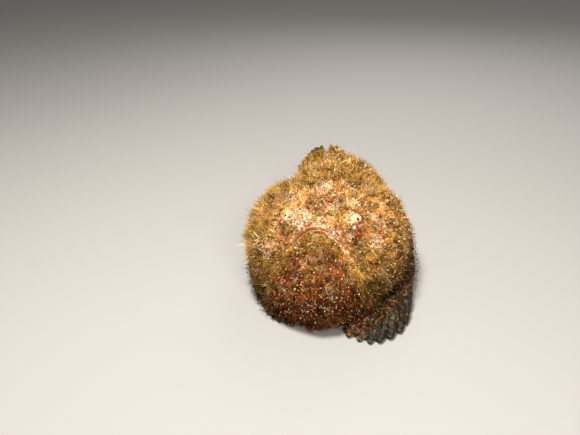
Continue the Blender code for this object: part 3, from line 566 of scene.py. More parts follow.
def set_places(mesh, places):
    mesh.vertices.foreach_set("co", places.astype(np.float32).ravel())
    mesh.update()


def mouth_arch(x):
    """The arch that the mouth follows, at each x."""
    drop = MOUTH_DROP * (x / MOUTH_HALF_WIDTH) ** 2
    return MOUTH_TOP + np.stack([x, np.zeros_like(x), -drop], axis=-1)


def mouth_line(count):
    """The line where the slit of the mouth comes out of the skin, corner to corner."""
    arch = mouth_arch(np.linspace(-MOUTH_HALF_WIDTH, MOUTH_HALF_WIDTH, count))
    outward = np.repeat(-GAPE_DIRECTION[None], count, axis=0)
    return surface_hits(arch + GAPE_DIRECTION * 0.045, outward, reach=0.08)


def noise(points, size, seed):
    """Smooth random values from 0 to 1 with bumps of the given size."""
    cell = points / size
    base = np.floor(cell).astype(np.int64)
    t = cell - base
    t = t * t * (3.0 - 2.0 * t)
    table = np.random.default_rng(seed).random(4096)
    total = np.zeros(len(points))
    for corner in np.ndindex(2, 2, 2):
        keys = (base + np.array(corner)) * np.array((73856093, 19349663, 83492791))
        value = table[(keys[:, 0] ^ keys[:, 1] ^ keys[:, 2]) & 4095]
        total += value * np.prod(np.where(np.array(corner), t, 1.0 - t), axis=1)
    return total


def step_up(value, low, high):
    """0 below low, 1 above high and smooth between. With low above high it steps down."""
    t = np.clip((value - low) / (high - low), 0.0, 1.0)
    return t * t * (3.0 - 2.0 * t)


def distance_to(centre, points):
    return np.linalg.norm(points - np.array(centre), axis=1)


def tree_of(places):
    """The places sorted for quick search."""
    tree = KDTree(len(places))
    for index, place in enumerate(places):
        tree.insert(place, index)
    tree.balance()
    return tree


def line_distance(points, line):
    """Distance from each point to the nearest point of a finely divided line, and its index."""
    tree = tree_of(line)
    distance = np.full(len(points), 1.0)
    nearest = np.zeros(len(points), int)
    low = line.min(axis=0) - 0.02
    high = line.max(axis=0) + 0.02
    for index in np.flatnonzero(((points > low) & (points < high)).all(axis=1)):
        _, nearest[index], distance[index] = tree.find(points[index])
    return distance, nearest


# Each bare crusted patch: centre and radius
CRUSTED = (
    ((-0.0190, -0.0928, 0.1068), 0.0150),
    ((0.0015, -0.0998, 0.1063), 0.0080),
    ((0.0330, -0.0880, 0.1060), 0.0105),
    ((0.0075, -0.0585, 0.1020), 0.0110),
    ((-0.0045, -0.0290, 0.1062), 0.0120),
    ((-0.0297, -0.0565, 0.1095), 0.0105),
    ((0.0272, -0.0600, 0.1108), 0.0095),
    ((0.0429, -0.0307, 0.0966), 0.0055),
    ((0.0488, -0.0553, 0.0935), 0.0085),
    ((-0.0520, -0.0895, 0.0690), 0.0110),
    ((-0.0364, -0.0961, 0.0752), 0.0045),
    ((0.0535, -0.0790, 0.0800), 0.0100),
    ((0.0160, -0.1025, 0.0970), 0.0065),
    ((0.0375, -0.0900, 0.0960), 0.0110),
    ((-0.0327, -0.1193, 0.0480), 0.0040),
    ((0.0341, -0.1130, 0.0533), 0.0045),
    ((-0.0120, -0.1190, 0.0740), 0.0050),
)
# Each larger knob of skin: centre, radius and height
KNOBS = (
    ((-0.0189, -0.0928, 0.1068), 0.0130, 0.0014),
    ((-0.0055, -0.0284, 0.1062), 0.0115, 0.0030),
    ((0.0205, -0.1003, 0.0952), 0.0036, 0.0018),
    ((-0.0364, -0.0961, 0.0752), 0.0028, 0.0014),
    ((-0.0327, -0.1193, 0.0480), 0.0036, 0.0022),
    ((0.0341, -0.1130, 0.0533), 0.0038, 0.0020),
    ((0.0272, -0.0620, 0.1108), 0.0055, 0.0014),
    ((0.0488, -0.0553, 0.0935), 0.0070, 0.0016),
    ((-0.0297, -0.0565, 0.1095), 0.0090, 0.0014),
    ((0.0154, -0.0651, 0.1077), 0.0045, 0.0012),
)


def crusted(points):
    """1 where the hide is bare and crusted with slime and sand, 0 under the turf."""
    ragged = 0.75 + 0.5 * noise(points, 0.0038, 11)
    share = np.zeros(len(points))
    for centre, radius in CRUSTED:
        gap = distance_to(centre, points) * ragged
        share = np.maximum(share, step_up(gap, radius, radius * 0.66))
    return share


def mouth_side(points):
    """How far each point is in front of the mouth's slit, on the lower jaw's side of it."""
    arch = mouth_arch(np.clip(points[:, 0], -0.075, 0.075))
    forward = np.array((0.0, -math.sin(GAPE_SLOPE), -math.cos(GAPE_SLOPE)))
    return (points - arch) @ forward


skin = fused("skin", [body, *fins, *folds], SKIN_GRAIN)
places = vertex_places(skin.data)
outward = vertex_normals(skin.data)
MOUTH = mouth_line(161)
mouth_gap, mouth_index = line_distance(places, MOUTH)
in_front = mouth_side(places)
mouth_taper = 1.0 - np.abs(np.linspace(-1.0, 1.0, len(MOUTH)))[mouth_index] ** 6
eye_gap = np.minimum(distance_to(EYE_CENTRE, places), distance_to(EYE_CENTRE * MIRROR, places))
on_body = step_up(np.abs(flesh(straightened(places))), 0.0030, 0.0012)
calm = step_up(eye_gap, 0.0055, 0.0090) * step_up(mouth_gap, 0.0020, 0.0060)

crust = crusted(places)
relief = (noise(places, LUMPS[0], 1) - 0.5) * LUMPS[1] * on_body * calm
relief += (noise(places, KNURLS[0], 2) - 0.5) * KNURLS[1] * (0.35 + 0.65 * on_body) * calm
pimple = PIMPLES[1] + CRUST_PIMPLES * crust
relief += (noise(places, PIMPLES[0], 3) - 0.5) * pimple * (0.4 + 0.6 * calm)
for centre, radius, height in KNOBS:
    gap = distance_to(centre, places) / radius
    relief += height * np.where(gap < 1.0, 1.0 - np.minimum(gap, 1.0) ** 2, 0.0) ** 1.5
fold_wave = np.sin(places[:, 2] * 900.0 + places[:, 0] * 260.0 + noise(places, 0.010, 4) * 9.0)
relief += FOLD_HEIGHT * fold_wave * on_body * calm


def lip_roll(distance, width, height):
    """Height of a roll along the mouth at each place of the skin."""
    return height * np.exp(-(((mouth_gap - distance) / width) ** 2)) * mouth_taper


lips = lip_roll(*UPPER_LIP) * (in_front < 0.0) + lip_roll(*LOWER_LIP) * (in_front >= 0.0)
relief += lips * (0.8 + 0.4 * noise(places, 0.0019, 5))
relief -= lip_roll(*SLIT)

wart_draw = np.random.default_rng(21)
wart_tree = tree_of(places)
for index in wart_draw.choice(len(places), WARTS, replace=False):
    radius = WART_LEAST + WART_MORE * wart_draw.random() ** 2
    height = radius * wart_draw.uniform(0.28, 0.48) * (0.4 + 0.6 * on_body[index])
    if calm[index] < 0.9 or places[index][2] < 0.004:
        continue
    for _, near, gap in wart_tree.find_range(places[index], radius):
        relief[near] += height * (1.0 - (gap / radius) ** 2) ** 1.5

places = places + outward * relief[:, None]
places[:, 2] = np.maximum(places[:, 2], 0.0)
set_places(skin.data, places)
outward = vertex_normals(skin.data)
skin.data.shade_smooth()

# Markings: olive and gold on the overgrown sides, flesh pink and cream on the bare face, rust red
# and near black on the jaw, slate on the fins' rims. Skin and growth take them from one function,
# which also paints shade towards the bottom and along the mouth.

PALETTE = {
    "gold": (214, 162, 84),
    "olive": (160, 128, 46),
    "leaf": (132, 118, 30),
    "brown": (148, 86, 28),
    "peach": (238, 164, 100),
    "cream": (255, 226, 168),
    "pink": (238, 130, 106),
    "coral": (228, 72, 46),
    "white": (255, 252, 236),
    "orange": (226, 102, 34),
    "rust": (156, 36, 12),
    "umber": (100, 46, 12),
    "dark": (34, 16, 8),
    "slate": (25, 22, 14),
}


def linear(name):
    value = np.array(PALETTE[name]) / 255.0
    return np.where(value <= 0.04045, value / 12.92, ((value + 0.055) / 1.055) ** 2.4)


def over(base, tone, share):
    """The base colour with the tone laid over it by each point's share."""
    return base * (1.0 - share[:, None]) + tone * share[:, None]


# Each named spot: centre, radius, colour and strength. The white spots on the knobs are partly pale crust
# and partly painted highlight.
SPOTS = (
    ((-0.0189, -0.0928, 0.1068), 0.0125, "cream", 0.40),
    ((-0.0314, -0.0901, 0.1047), 0.0065, "white", 0.40),
    ((0.0320, -0.0885, 0.1065), 0.0085, "cream", 0.50),
    ((0.0358, -0.0895, 0.0985), 0.0100, "rust", 0.95),
    ((0.0385, -0.0915, 0.0930), 0.0085, "rust", 0.95),
    ((0.0330, -0.0920, 0.1000), 0.0022, "white", 0.90),
    ((0.0382, -0.0876, 0.0985), 0.0020, "white", 0.90),
    ((0.0034, -0.0574, 0.0991), 0.0038, "white", 0.85),
    ((0.0085, -0.0575, 0.1020), 0.0040, "white", 0.90),
    ((0.0154, -0.0651, 0.1077), 0.0044, "white", 0.90),
    ((-0.0004, -0.0552, 0.0998), 0.0048, "orange", 0.80),
    ((-0.0034, -0.0626, 0.0971), 0.0042, "orange", 0.60),
    ((0.0192, -0.0910, 0.1078), 0.0062, "olive", 0.85),
    ((-0.0055, -0.0284, 0.1062), 0.0115, "cream", 0.70),
    ((-0.0064, -0.0307, 0.1057), 0.0032, "white", 0.90),
    ((0.0140, -0.0339, 0.1061), 0.0050, "umber", 0.75),
    ((-0.0297, -0.0565, 0.1095), 0.0080, "pink", 0.60),
    ((0.0272, -0.0620, 0.1108), 0.0052, "orange", 0.90),
    ((0.0429, -0.0307, 0.0966), 0.0044, "coral", 0.90),
    ((0.0177, -0.0577, 0.1107), 0.0028, "white", 0.95),
    ((0.0488, -0.0553, 0.0935), 0.0064, "cream", 0.80),
    ((0.0205, -0.1003, 0.0952), 0.0038, "pink", 0.95),
    ((0.0148, -0.1031, 0.0963), 0.0042, "white", 0.80),
    ((-0.0364, -0.0961, 0.0752), 0.0030, "white", 0.95),
    ((-0.0517, -0.0888, 0.0710), 0.0078, "cream", 0.60),
    ((0.0530, -0.0777, 0.0819), 0.0072, "peach", 0.60),
    ((0.0555, -0.0821, 0.0758), 0.0040, "orange", 0.60),
    ((0.0031, -0.1118, 0.0868), 0.0024, "orange", 0.95),
    ((-0.0327, -0.1193, 0.0480), 0.0036, "white", 0.95),
    ((-0.0309, -0.1216, 0.0589), 0.0045, "coral", 0.85),
    ((0.0341, -0.1130, 0.0533), 0.0042, "pink", 0.95),
    ((-0.0120, -0.1190, 0.0740), 0.0048, "cream", 0.85),
)


def zones(points):
    """How far each point belongs to the face, the jaw, the band under the lip and the fins' rims."""
    front = mouth_side(points)
    aside = np.where(points[:, 0] > 0.0, points[:, 0] * 0.84, -points[:, 0])
    forward = step_up(points[:, 1], -0.070, -0.085)
    jaw = step_up(front, 0.009, 0.015) * step_up(aside, 0.052, 0.038) * forward
    band = step_up(front, 0.000, 0.003) * step_up(front, 0.016, 0.010) * forward
    face = step_up(points[:, 2], 0.064, 0.086) * step_up(aside, 0.064, 0.046)
    face *= step_up(points[:, 1], -0.008, -0.030) * (1.0 - jaw) * (1.0 - band)
    off_body = step_up(flesh(points), 0.015, 0.027)
    off_body *= np.maximum(step_up(points[:, 2], 0.100, 0.085), step_up(points[:, 1], 0.100, 0.110))
    return face, jaw, band, off_body


def crumbs(points):
    """Slime, sand and crust on the bare hide: gold and peach broken up by cream, orange and brown. Cream
    and white sit on the pimples' tops, partly pale crust and partly painted highlight; umber and near
    black sit in their pits as painted shade.
    """
    pimple_relief = noise(points, 0.0023, 3)
    fine = noise(points, 0.0018, 34)
    broad = noise(points, 0.0032, 35)
    tone = over(linear("gold"), linear("peach"), broad)
    for share, name in (
        (step_up(broad, 0.42, 0.30) * 0.85, "orange"),
        (step_up(broad, 0.62, 0.74) * 0.80, "olive"),
        # Cream and white on the pimples' tops are partly pale crust and partly painted highlight; umber
        # and near black in their pits are painted shade.
        (step_up(pimple_relief, 0.48, 0.60), "cream"),
        (step_up(pimple_relief, 0.40, 0.30) * 0.90, "umber"),
        (step_up(pimple_relief, 0.24, 0.16), "dark"),
        (step_up(pimple_relief + 0.5 * fine, 0.90, 1.00), "white"),
    ):
        tone = over(tone, linear(name), share)
    return tone


TAIL_HALF_HEIGHT = 0.0555


def tail_reach(points):
    """Distance over the tail fin's fan from its root, 1 at its rim."""
    back = points[:, 1] - TAIL_ROOT_Y
    high = points[:, 2] - TAIL_ROOT_Z
    along = back * math.cos(TAIL_TIP_UP) + high * math.sin(TAIL_TIP_UP)
    across = high * math.cos(TAIL_TIP_UP) - back * math.sin(TAIL_TIP_UP)
    return np.hypot(along / TAIL_LENGTH, across / TAIL_HALF_HEIGHT)


def low_fin(points, top):
    """1 on the paired and anal fins, below the given height, and 0 on the body."""
    return step_up(flesh(points), 0.004, 0.010) * step_up(points[:, 2], top, top - 0.015)


def pigment(points):
    """Colour of the skin at each point of the straight fish, as linear red, green and blue."""
    face, jaw, band, rim = zones(points)
    patch = noise(points, 0.0110, 31)
    small = noise(points, 0.0042, 32)
    side = over(linear("olive"), linear("gold"), patch)
    side = over(side, linear("brown"), 0.6 * step_up(points[:, 2], 0.060, 0.020))
    bare = over(linear("gold"), linear("peach"), small)
    bare = over(linear("brown"), bare, 0.70 + 0.30 * patch)
    chin = over(linear("rust") * 0.4 + linear("umber") * 0.5, linear("umber"), small)
    chin = over(chin, linear("brown"), 0.75 * step_up(points[:, 2], 0.042, 0.072))
    strip = linear("olive") * 0.6 + linear("umber") * 0.4
    # The low fins' near black brown is partly their own dark tone and partly painted shade.
    dark_fin_tone_and_shade = linear("brown") * 0.14 * small[:, None] + linear("umber") * 0.20
    mossy = over(linear("leaf"), linear("olive"), small)
    tail = step_up(points[:, 1], 0.112, 0.120) * step_up(tail_reach(points), 0.96, 0.86)
    colour = side
    for share, tone in (
        (face, bare),
        (jaw, chin),
        (band, strip),
        (0.90 * crusted(points), crumbs(points)),
        (low_fin(points, 0.055), dark_fin_tone_and_shade),
        (rim, linear("slate")),
        (tail, mossy),
    ):
        colour = over(colour, tone, share)
    return colour


def painted_low_shade(points):
    """Painted shade: the hide, its turf and its grit are darker towards the bottom."""
    return (1.0 - 0.32 * step_up(points[:, 2], 0.052, 0.010))[:, None]


FLECKS = 15000
FLECK_TONES = (
    "cream", "peach", "pink", "white", "olive", "orange", "rust", "dark", "gold", "brown", "slate",
)
FACE_ODDS = np.array((0.18, 0.12, 0.06, 0.16, 0.12, 0.13, 0.05, 0.06, 0.06, 0.06, 0.0))
JAW_ODDS = np.array((0.10, 0.06, 0.01, 0.01, 0.12, 0.18, 0.08, 0.26, 0.08, 0.10, 0.0))
SIDE_ODDS = np.array((0.05, 0.03, 0.03, 0.01, 0.26, 0.04, 0.02, 0.08, 0.30, 0.18, 0.0))
RIM_ODDS = np.array((0.0, 0.0, 0.0, 0.0, 0.16, 0.02, 0.0, 0.22, 0.04, 0.16, 0.40))


def picked(odds, draw):
    """One column for each row of odds, drawn at random."""
    limits = np.cumsum(odds / odds.sum(axis=1)[:, None], axis=1)
    return (draw.random(len(odds))[:, None] > limits).sum(axis=1).clip(0, odds.shape[1] - 1)


flat_places = straightened(places)
fleck_draw = np.random.default_rng(41)
fleck_at = flat_places[fleck_draw.choice(len(places), FLECKS, replace=False)]
face_share, jaw_share, _, rim_share = zones(fleck_at)
side_share = np.clip(1.0 - face_share - jaw_share - rim_share, 0.0, 1.0)
odds = face_share[:, None] * FACE_ODDS + jaw_share[:, None] * JAW_ODDS
odds += side_share[:, None] * SIDE_ODDS + rim_share[:, None] * RIM_ODDS
fleck_tone = picked(odds, fleck_draw)
fleck_radius = 0.0008 + (0.0019 - 0.0008 * face_share) * fleck_draw.random(FLECKS) ** 1.5
fleck_strength = fleck_draw.uniform(0.35, 0.95, FLECKS) * (1.0 - 0.45 * rim_share)
tone_values = np.array([linear(name) for name in FLECK_TONES])
fleck_tree = tree_of(fleck_at)


def marked(points):
    """The skin's colour with its flecks, its few larger named spots and its colours along the mouth, with
    painted shade in the mouth's slit and beside it, and painted shade towards the bottom.
    """
    colour = pigment(points)
    nearest = np.empty(len(points), int)
    gap = np.empty(len(points))
    for index, place in enumerate(points):
        _, nearest[index], gap[index] = fleck_tree.find(place)
    ragged = 1.0 + 0.5 * (noise(points, 0.0011, 43) - 0.5)
    share = step_up(gap * ragged, fleck_radius[nearest], fleck_radius[nearest] * 0.55)
    colour = over(colour, tone_values[fleck_tone[nearest]], share * fleck_strength[nearest])
    for centre, radius, name, strength in SPOTS:
        reach = distance_to(centre, points) * (0.7 + 0.6 * noise(points, 0.0021, 44))
        broken = 0.45 + 0.55 * step_up(noise(points, 0.0018, 46), 0.30, 0.55)
        colour = over(colour, linear(name), step_up(reach, radius, radius * 0.5) * strength * broken)
    lip = np.linalg.norm(points[:, None, :] - MOUTH[None, ::8, :], axis=2).min(axis=1)
    near_lip = step_up(lip, 0.006, 0.004) > 0.0
    if near_lip.any():
        distance, _ = line_distance(points[near_lip], MOUTH)
        side = mouth_side(points[near_lip])
        patchy = noise(points[near_lip], 0.0022, 45)
        ragged_side = step_up(points[near_lip, 0], 0.005, 0.010)
        edge = np.exp(-(((distance - 0.0011) / 0.0007) ** 2)) * (side > -0.0004) * (0.5 + 0.5 * patchy)
        crust_line = step_up(distance, 0.0030, 0.0016) * ragged_side * step_up(patchy, 0.30, 0.55)
        # Painted shade: near black in the slit at the mouth's middle, and umber within 5 mm of the mouth
        # line off the crust.
        painted_slit_shade = np.exp(-((distance / 0.0008) ** 2)) * step_up(np.abs(points[near_lip, 0]), 0.024, 0.012)
        painted_lip_shade = step_up(distance, 0.0050, 0.0035) * (1.0 - crusted(points[near_lip]))
        tone = colour[near_lip]
        for share, name in (
            (0.55 * painted_lip_shade, "umber"),
            (edge, "peach"),
            (0.7 * crust_line, "pink"),
            (crust_line * step_up(patchy, 0.52, 0.62), "cream"),
            (painted_slit_shade, "dark"),
        ):
            tone = over(tone, linear(name), share)
        colour[near_lip] = tone
    # Painted shade towards the bottom.
    return colour * painted_low_shade(points)


def colour_layer(mesh, name, colours):
    layer = mesh.attributes.new(name, "FLOAT_COLOR", "POINT")
    values = np.ones((len(colours), 4), np.float32)
    values[:, :3] = colours
    layer.data.foreach_set("color", values.ravel())


def value_layer(mesh, name, values):
    layer = mesh.attributes.new(name, "FLOAT", "POINT")
    layer.data.foreach_set("value", values.astype(np.float32).ravel())


colour_layer(skin.data, "markings", marked(flat_places))
plain = np.zeros(len(flat_places))
for centre, radius, name, _ in SPOTS:
    if name in ("rust", "olive", "umber", "coral"):
        gap = distance_to(centre, flat_places)
        plain = np.maximum(plain, step_up(gap, radius * 1.1, radius * 0.7))
value_layer(skin.data, "crust", crusted(flat_places) * (1.0 - 0.85 * plain))


def set_inputs(tree, node, values):
    """Set a node's inputs: a socket is linked, and anything else is the input's own value."""
    for name, value in values.items():
        target = node.inputs[name.replace("_", " ")]
        if isinstance(value, bpy.types.NodeSocket):
            tree.links.new(value, target)
        else:
            target.default_value = value


def new_material(name, **values):
    """A material, its node tree and its shader with the given inputs."""
    material = bpy.data.materials.new(name)
    material.use_nodes = True
    tree = material.node_tree
    shader = tree.nodes["Principled BSDF"]
    set_inputs(tree, shader, values)
    return material, tree, shader


def added(tree, kind, output, **values):
    """One output of a new shader node with the given inputs."""
    node = tree.nodes.new("ShaderNode" + kind)
    set_inputs(tree, node, values)
    return node.outputs[output]


def attribute(tree, name, output="Color"):
    """A mesh's own layer of colours or values."""
    node = tree.nodes.new("ShaderNodeAttribute")
    node.attribute_name = name
    return node.outputs[output]


def ranged(tree, value, low, high, least, most):
    """The value stretched so that low gives least and high gives most."""
    limits = {"From_Min": low, "From_Max": high, "To_Min": least, "To_Max": most}
    return added(tree, "MapRange", "Result", Value=value, **limits)


def mixed(tree, first, second, factor=1.0, blend="MIX"):
    """Two colours laid over each other."""
    node = tree.nodes.new("ShaderNodeMix")
    node.data_type = "RGBA"
    node.blend_type = blend
    set_inputs(tree, node, {"Factor": factor, "A": first, "B": second})
    return node.outputs["Result"]


def product(tree, first, second):
    """Two values multiplied."""
    node = tree.nodes.new("ShaderNodeMath")
    node.operation = "MULTIPLY"
    tree.links.new(first, node.inputs[0])
    tree.links.new(second, node.inputs[1])
    return node.outputs["Value"]


def hide_material():
    """Rough slimy skin: the markings broken up by fine grain, pores and small pale granules."""
    material, tree, shader = new_material("warty_hide", Metallic=0.0, Specular_IOR_Level=0.24)
    place = added(tree, "TexCoord", "Object")
    grain = added(tree, "TexNoise", "Fac", Vector=place, Scale=850.0, Detail=5.0, Roughness=0.65)
    granules = added(tree, "TexVoronoi", "Distance", Vector=place, Scale=620.0)
    shade = ranged(tree, grain, 0.3, 0.7, 0.30, 1.55)
    tone = mixed(tree, attribute(tree, "markings"), shade, blend="MULTIPLY")
    dots = ranged(tree, granules, 0.30, 0.12, 0.0, 0.12)
    tone = mixed(tree, tone, (0.80, 0.52, 0.24, 1.0), dots)
    bare = attribute(tree, "crust", "Fac")
    for scale, low, high, most, stain in (
        (900.0, 0.58, 0.63, 0.85, (1.0, 0.88, 0.58, 1.0)),
        (700.0, 0.44, 0.39, 0.75, (0.32, 0.07, 0.008, 1.0)),
        (900.0, 0.42, 0.38, 0.90, (0.03, 0.010, 0.004, 1.0)),
    ):
        worms = added(tree, "TexNoise", "Fac", Vector=place, Scale=scale, Distortion=0.8)
        stained = product(tree, ranged(tree, worms, low, high, 0.0, most), bare)
        tone = mixed(tree, tone, stain, stained)
    wet = ranged(tree, grain, 0.35, 0.65, 0.14, 0.75)
    coarse = added(tree, "Bump", "Normal", Strength=0.8, Distance=0.0006, Height=grain)
    fine = tree.nodes.new("ShaderNodeBump")
    fine.invert = True
    set_inputs(tree, fine, {"Strength": 0.5, "Distance": 0.0004, "Height": granules, "Normal": coarse})
    set_inputs(tree, shader, {"Base Color": tone, "Roughness": wet, "Normal": fine.outputs["Normal"]})
    return material


def settled(item):
    """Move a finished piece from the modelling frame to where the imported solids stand."""
    set_places(item.data, vertex_places(item.data) + SETTLE)


skin.data.materials.clear()
skin.data.materials.append(hide_material())
settled(skin)
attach(skin, "root")
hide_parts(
    "head", "lower_jaw", "trunk", "tail_stem", "pectoral_fin_L", "pectoral_fin_R",
    "pelvic_fin_L", "pelvic_fin_R", "dorsal_fin_spiny", "dorsal_fin_soft", "anal_fin", "tail_fin",
)

# Turf algae: a fuzz of fine branching sprigs on nearly all of the skin, longest on the sides and
# nape, short and sparse on the face. Each sprig is a spray of thin bending blades from one root.

SPRIGS = 26000
BLADES = 10
CLUMPS = 5600
SPRIG_LENGTH = 0.0088
LONGEST_SPRIG = 0.0100
THICKEST_TURF = (-0.066, -0.050, 0.072)
BLADE_WIDTH = 0.00021
# Where the cross-sections of a blade stand along it, and how wide all but the tip are
BLADE_STEPS = (0.0, 0.38, 0.72, 1.0)
BLADE_TAPER = (1.0, 0.85, 0.6)
MOST_TRIANGLES = 190000
PATCH = 0.003


def lie_of_growth(points, normals):
    """The way the sprigs lean: down the sides and jaw, and back along the top."""
    pull = np.zeros_like(points)
    pull[:, 1] = np.where(points[:, 1] > -0.09, 0.35, -0.10)
    pull[:, 2] = -1.0
    sideways = np.stack([points[:, 0] * 9.0, np.full(len(points), 0.4), np.zeros(len(points))], axis=1)
    flow = pull + sideways * np.maximum(normals[:, 2], 0.0)[:, None]
    flow -= normals * (flow * normals).sum(axis=1)[:, None]
    return flow / np.maximum(np.linalg.norm(flow, axis=1), 1e-6)[:, None]


def surface_samples(mesh, weights, count, draw):
    """Random places on the faces of a mesh, in proportion to area times weight, with face index."""
    mesh.calc_loop_triangles()
    corners = np.empty(len(mesh.loop_triangles) * 3, np.int32)
    mesh.loop_triangles.foreach_get("vertices", corners)
    corners = corners.reshape(-1, 3)
    spots = vertex_places(mesh)[corners]
    area = np.linalg.norm(np.cross(spots[:, 1] - spots[:, 0], spots[:, 2] - spots[:, 0]), axis=1)
    chance = area * weights[corners].mean(axis=1)
    chosen = draw.choice(len(corners), size=count, p=chance / chance.sum())
    a, b = draw.random((2, count, 1))
    flip = (a + b) > 1.0
    a = np.where(flip, 1.0 - a, a)
    b = np.where(flip, 1.0 - b, b)
    first, second, third = spots[chosen].transpose(1, 0, 2)
    return first + (second - first) * a + (third - first) * b, corners[chosen]


def unwrapped(straight):
    """Place on a flat unwrap of the skin: turn round the body's axis, and length along it."""
    along = np.clip((straight[:, 1] + 0.07) / 0.19, 0.0, 1.0)
    middle = AXIS_START[2] + (AXIS_END[2] - AXIS_START[2]) * along
    turn = np.arctan2(straight[:, 0], straight[:, 2] - middle)
    u = 0.02 + 0.96 * (turn / (2.0 * math.pi) + 0.5)
    v = 0.02 + 0.96 * np.clip((straight[:, 1] + 0.145) / 0.345, 0.0, 1.0)
    return np.stack([u, v], axis=1)


_, jaw_v, _, rim_v = zones(flat_places)
bare_v = crusted(flat_places)
density = (1.0 - 0.70 * rim_v) * (1.0 - 0.93 * bare_v)
density *= step_up(eye_gap, 0.0062, 0.0085)
bare_lip = np.where(in_front > 0.0, 0.0015, 0.0006)
density *= step_up(mouth_gap, bare_lip, np.where(in_front > 0.0, 0.0024, 0.0014))
density *= step_up(places[:, 2], 0.0015, 0.0050) * step_up(outward[:, 2], -0.75, -0.35)
density = np.maximum(density, 0.0)

sprig_draw = np.random.default_rng(71)
roots, root_corners = surface_samples(skin.data, density, SPRIGS, sprig_draw)
root_normal = unit(outward[root_corners].mean(axis=1))
root_straight = straightened(roots - SETTLE)
root_lie = lie_of_growth(root_straight, root_normal)
root_colour = marked(root_straight)
face_r, jaw_r, band_r, rim_r = zones(root_straight)
sprig_size = SPRIG_LENGTH * sprig_draw.uniform(0.60, 1.10, SPRIGS)
sprig_size *= 1.0 - 0.50 * face_r - 0.45 * jaw_r - 0.5 * rim_r
sprig_size *= 0.62 + 0.76 * noise(root_straight, 0.0080, 62)
lip_gap, _ = line_distance(root_straight, MOUTH)
sprig_size *= 0.32 + 0.68 * step_up(lip_gap, 0.002, 0.013)
thickest = distance_to(THICKEST_TURF, root_straight)
sprig_size *= 1.0 + 0.42 * step_up(thickest, 0.045, 0.010)
sprig_size *= 1.0 - 0.30 * step_up(root_straight[:, 0], 0.045, 0.065)
sprig_size *= 1.0 - 0.45 * step_up(flesh(root_straight), 0.004, 0.012)
sprig_size = np.minimum(sprig_size, LONGEST_SPRIG)

# Tufts: the sprigs of one tuft draw together at their tips and share a tone with painted light and shade
tuft_at, tuft_corners = surface_samples(skin.data, density, CLUMPS, sprig_draw)
tuft_normal = unit(outward[tuft_corners].mean(axis=1))
tuft_straight = straightened(tuft_at - SETTLE)
wander = np.stack([noise(tuft_straight, 0.0080, seed) for seed in (64, 65, 66)], axis=1) - 0.5
tuft_lean = lie_of_growth(tuft_straight, tuft_normal) * 0.30 + wander * 1.4
tuft_lean += sprig_draw.normal(0.0, 0.35, (CLUMPS, 3))
tuft_tree = tree_of(tuft_at)
tuft = np.array([tuft_tree.find(place)[1] for place in roots])
tuft_top = tuft_at[tuft] + (tuft_normal[tuft] * 0.95 + tuft_lean[tuft]) * sprig_size[:, None] * 0.9
root_lean = (tuft_top - roots) / sprig_size[:, None]
root_lean += sprig_draw.normal(0.0, 0.26, (SPRIGS, 3))


def blades_of(chosen, draw):
    """Vertices, normals, tip shares and map places of the blades of some sprigs, and the sprig of each
    blade.
    """
    count = len(chosen) * BLADES
    sprig = np.repeat(chosen, BLADES)
    normal = root_normal[sprig]
    lie = root_lie[sprig]
    across = np.cross(normal, lie)
    turn = draw.uniform(0.0, 2.0 * math.pi, count)
    spread = draw.random(count) ** 0.6
    reach = np.cos(turn)[:, None] * lie + np.sin(turn)[:, None] * across
    heading = unit(normal * 0.35 + root_lean[sprig] + reach * (spread * 0.95)[:, None])
    size = sprig_size[sprig] * draw.uniform(0.6, 1.1, count)
    start = roots[sprig] - normal * 0.0004 + reach * (0.0005 * spread)[:, None]
    curl = draw.normal(0.0, 0.42, (count, 3)) + lie * draw.uniform(0.0, 0.4, count)[:, None]
    broad = unit(np.cross(heading, normal + draw.normal(0.0, 0.6, (count, 3))))
    width = BLADE_WIDTH * draw.uniform(0.7, 1.4, count)
    path = np.empty((count, 4, 3))
    wiggle = draw.normal(0.0, 0.18, (count, 3))
    for step, share in enumerate(BLADE_STEPS):
        bend = curl * share**2 * 0.9 + wiggle * math.sin(share * 5.0)
        path[:, step] = start + (heading * share + bend) * size[:, None]
    vertices = np.empty((count, 7, 3))
    for step, narrow in enumerate(BLADE_TAPER):
        offset = broad * (width * narrow)[:, None]
        vertices[:, step * 2] = path[:, step] - offset
        vertices[:, step * 2 + 1] = path[:, step] + offset
    vertices[:, 6] = path[:, 3]
    vertices[..., 2] = np.maximum(vertices[..., 2], 0.0002)
    own = np.cross(broad, heading)
    own *= np.sign((own * normal).sum(axis=1))[:, None]
    facing = unit(normal * 0.5 + own * 0.7 + reach * 0.5)
    tip = np.tile(np.append(np.repeat(BLADE_STEPS[:3], 2), BLADE_STEPS[3]), (count, 1))
    side = np.tile(np.append(np.outer(BLADE_TAPER, (-1.0, 1.0)), 0.0), (count, 1))
    patch = np.repeat(unwrapped(root_straight[sprig])[:, None, :], 7, axis=1)
    slot_in_patch = (np.tile(np.arange(BLADES), len(chosen)) + 0.5) / BLADES - 0.5
    patch[..., 0] += (slot_in_patch[:, None] + side * 0.35 / BLADES) * PATCH
    patch[..., 1] += (tip - 0.5) * PATCH
    return vertices, facing, tip, patch, sprig


def growth_colour(sprig, draw):
    """Root and tip colours of the blades: the skin's markings mixed with the algae's own gold, times each
    tuft's tone with its painted light and shade.
    """
    count = len(sprig)
    own = over(linear("olive"), linear("gold"), noise(root_straight, 0.015, 63)[sprig])
    low = step_up(root_straight[:, 2], 0.070, 0.032)
    redder = 0.45 + 0.35 * step_up(root_straight[:, 0], 0.0, 0.030)
    brown = (0.35 * jaw_r + redder * low)[sprig][:, None].clip(0.0, 0.85)
    own = own * (1.0 - brown) + linear("brown") * 0.85 * brown
    own = own * 0.42 + tuft_colour[tuft][sprig] * 0.58
    under = root_colour[sprig]
    share = (0.25 + 0.05 * face_r + 0.12 * jaw_r)[sprig][:, None]
    tone = own * (1.0 - share) + under * share
    return tone * tuft_tone_light_and_shade[tuft][sprig][:, None] * draw.uniform(0.55, 1.45, (count, 1))


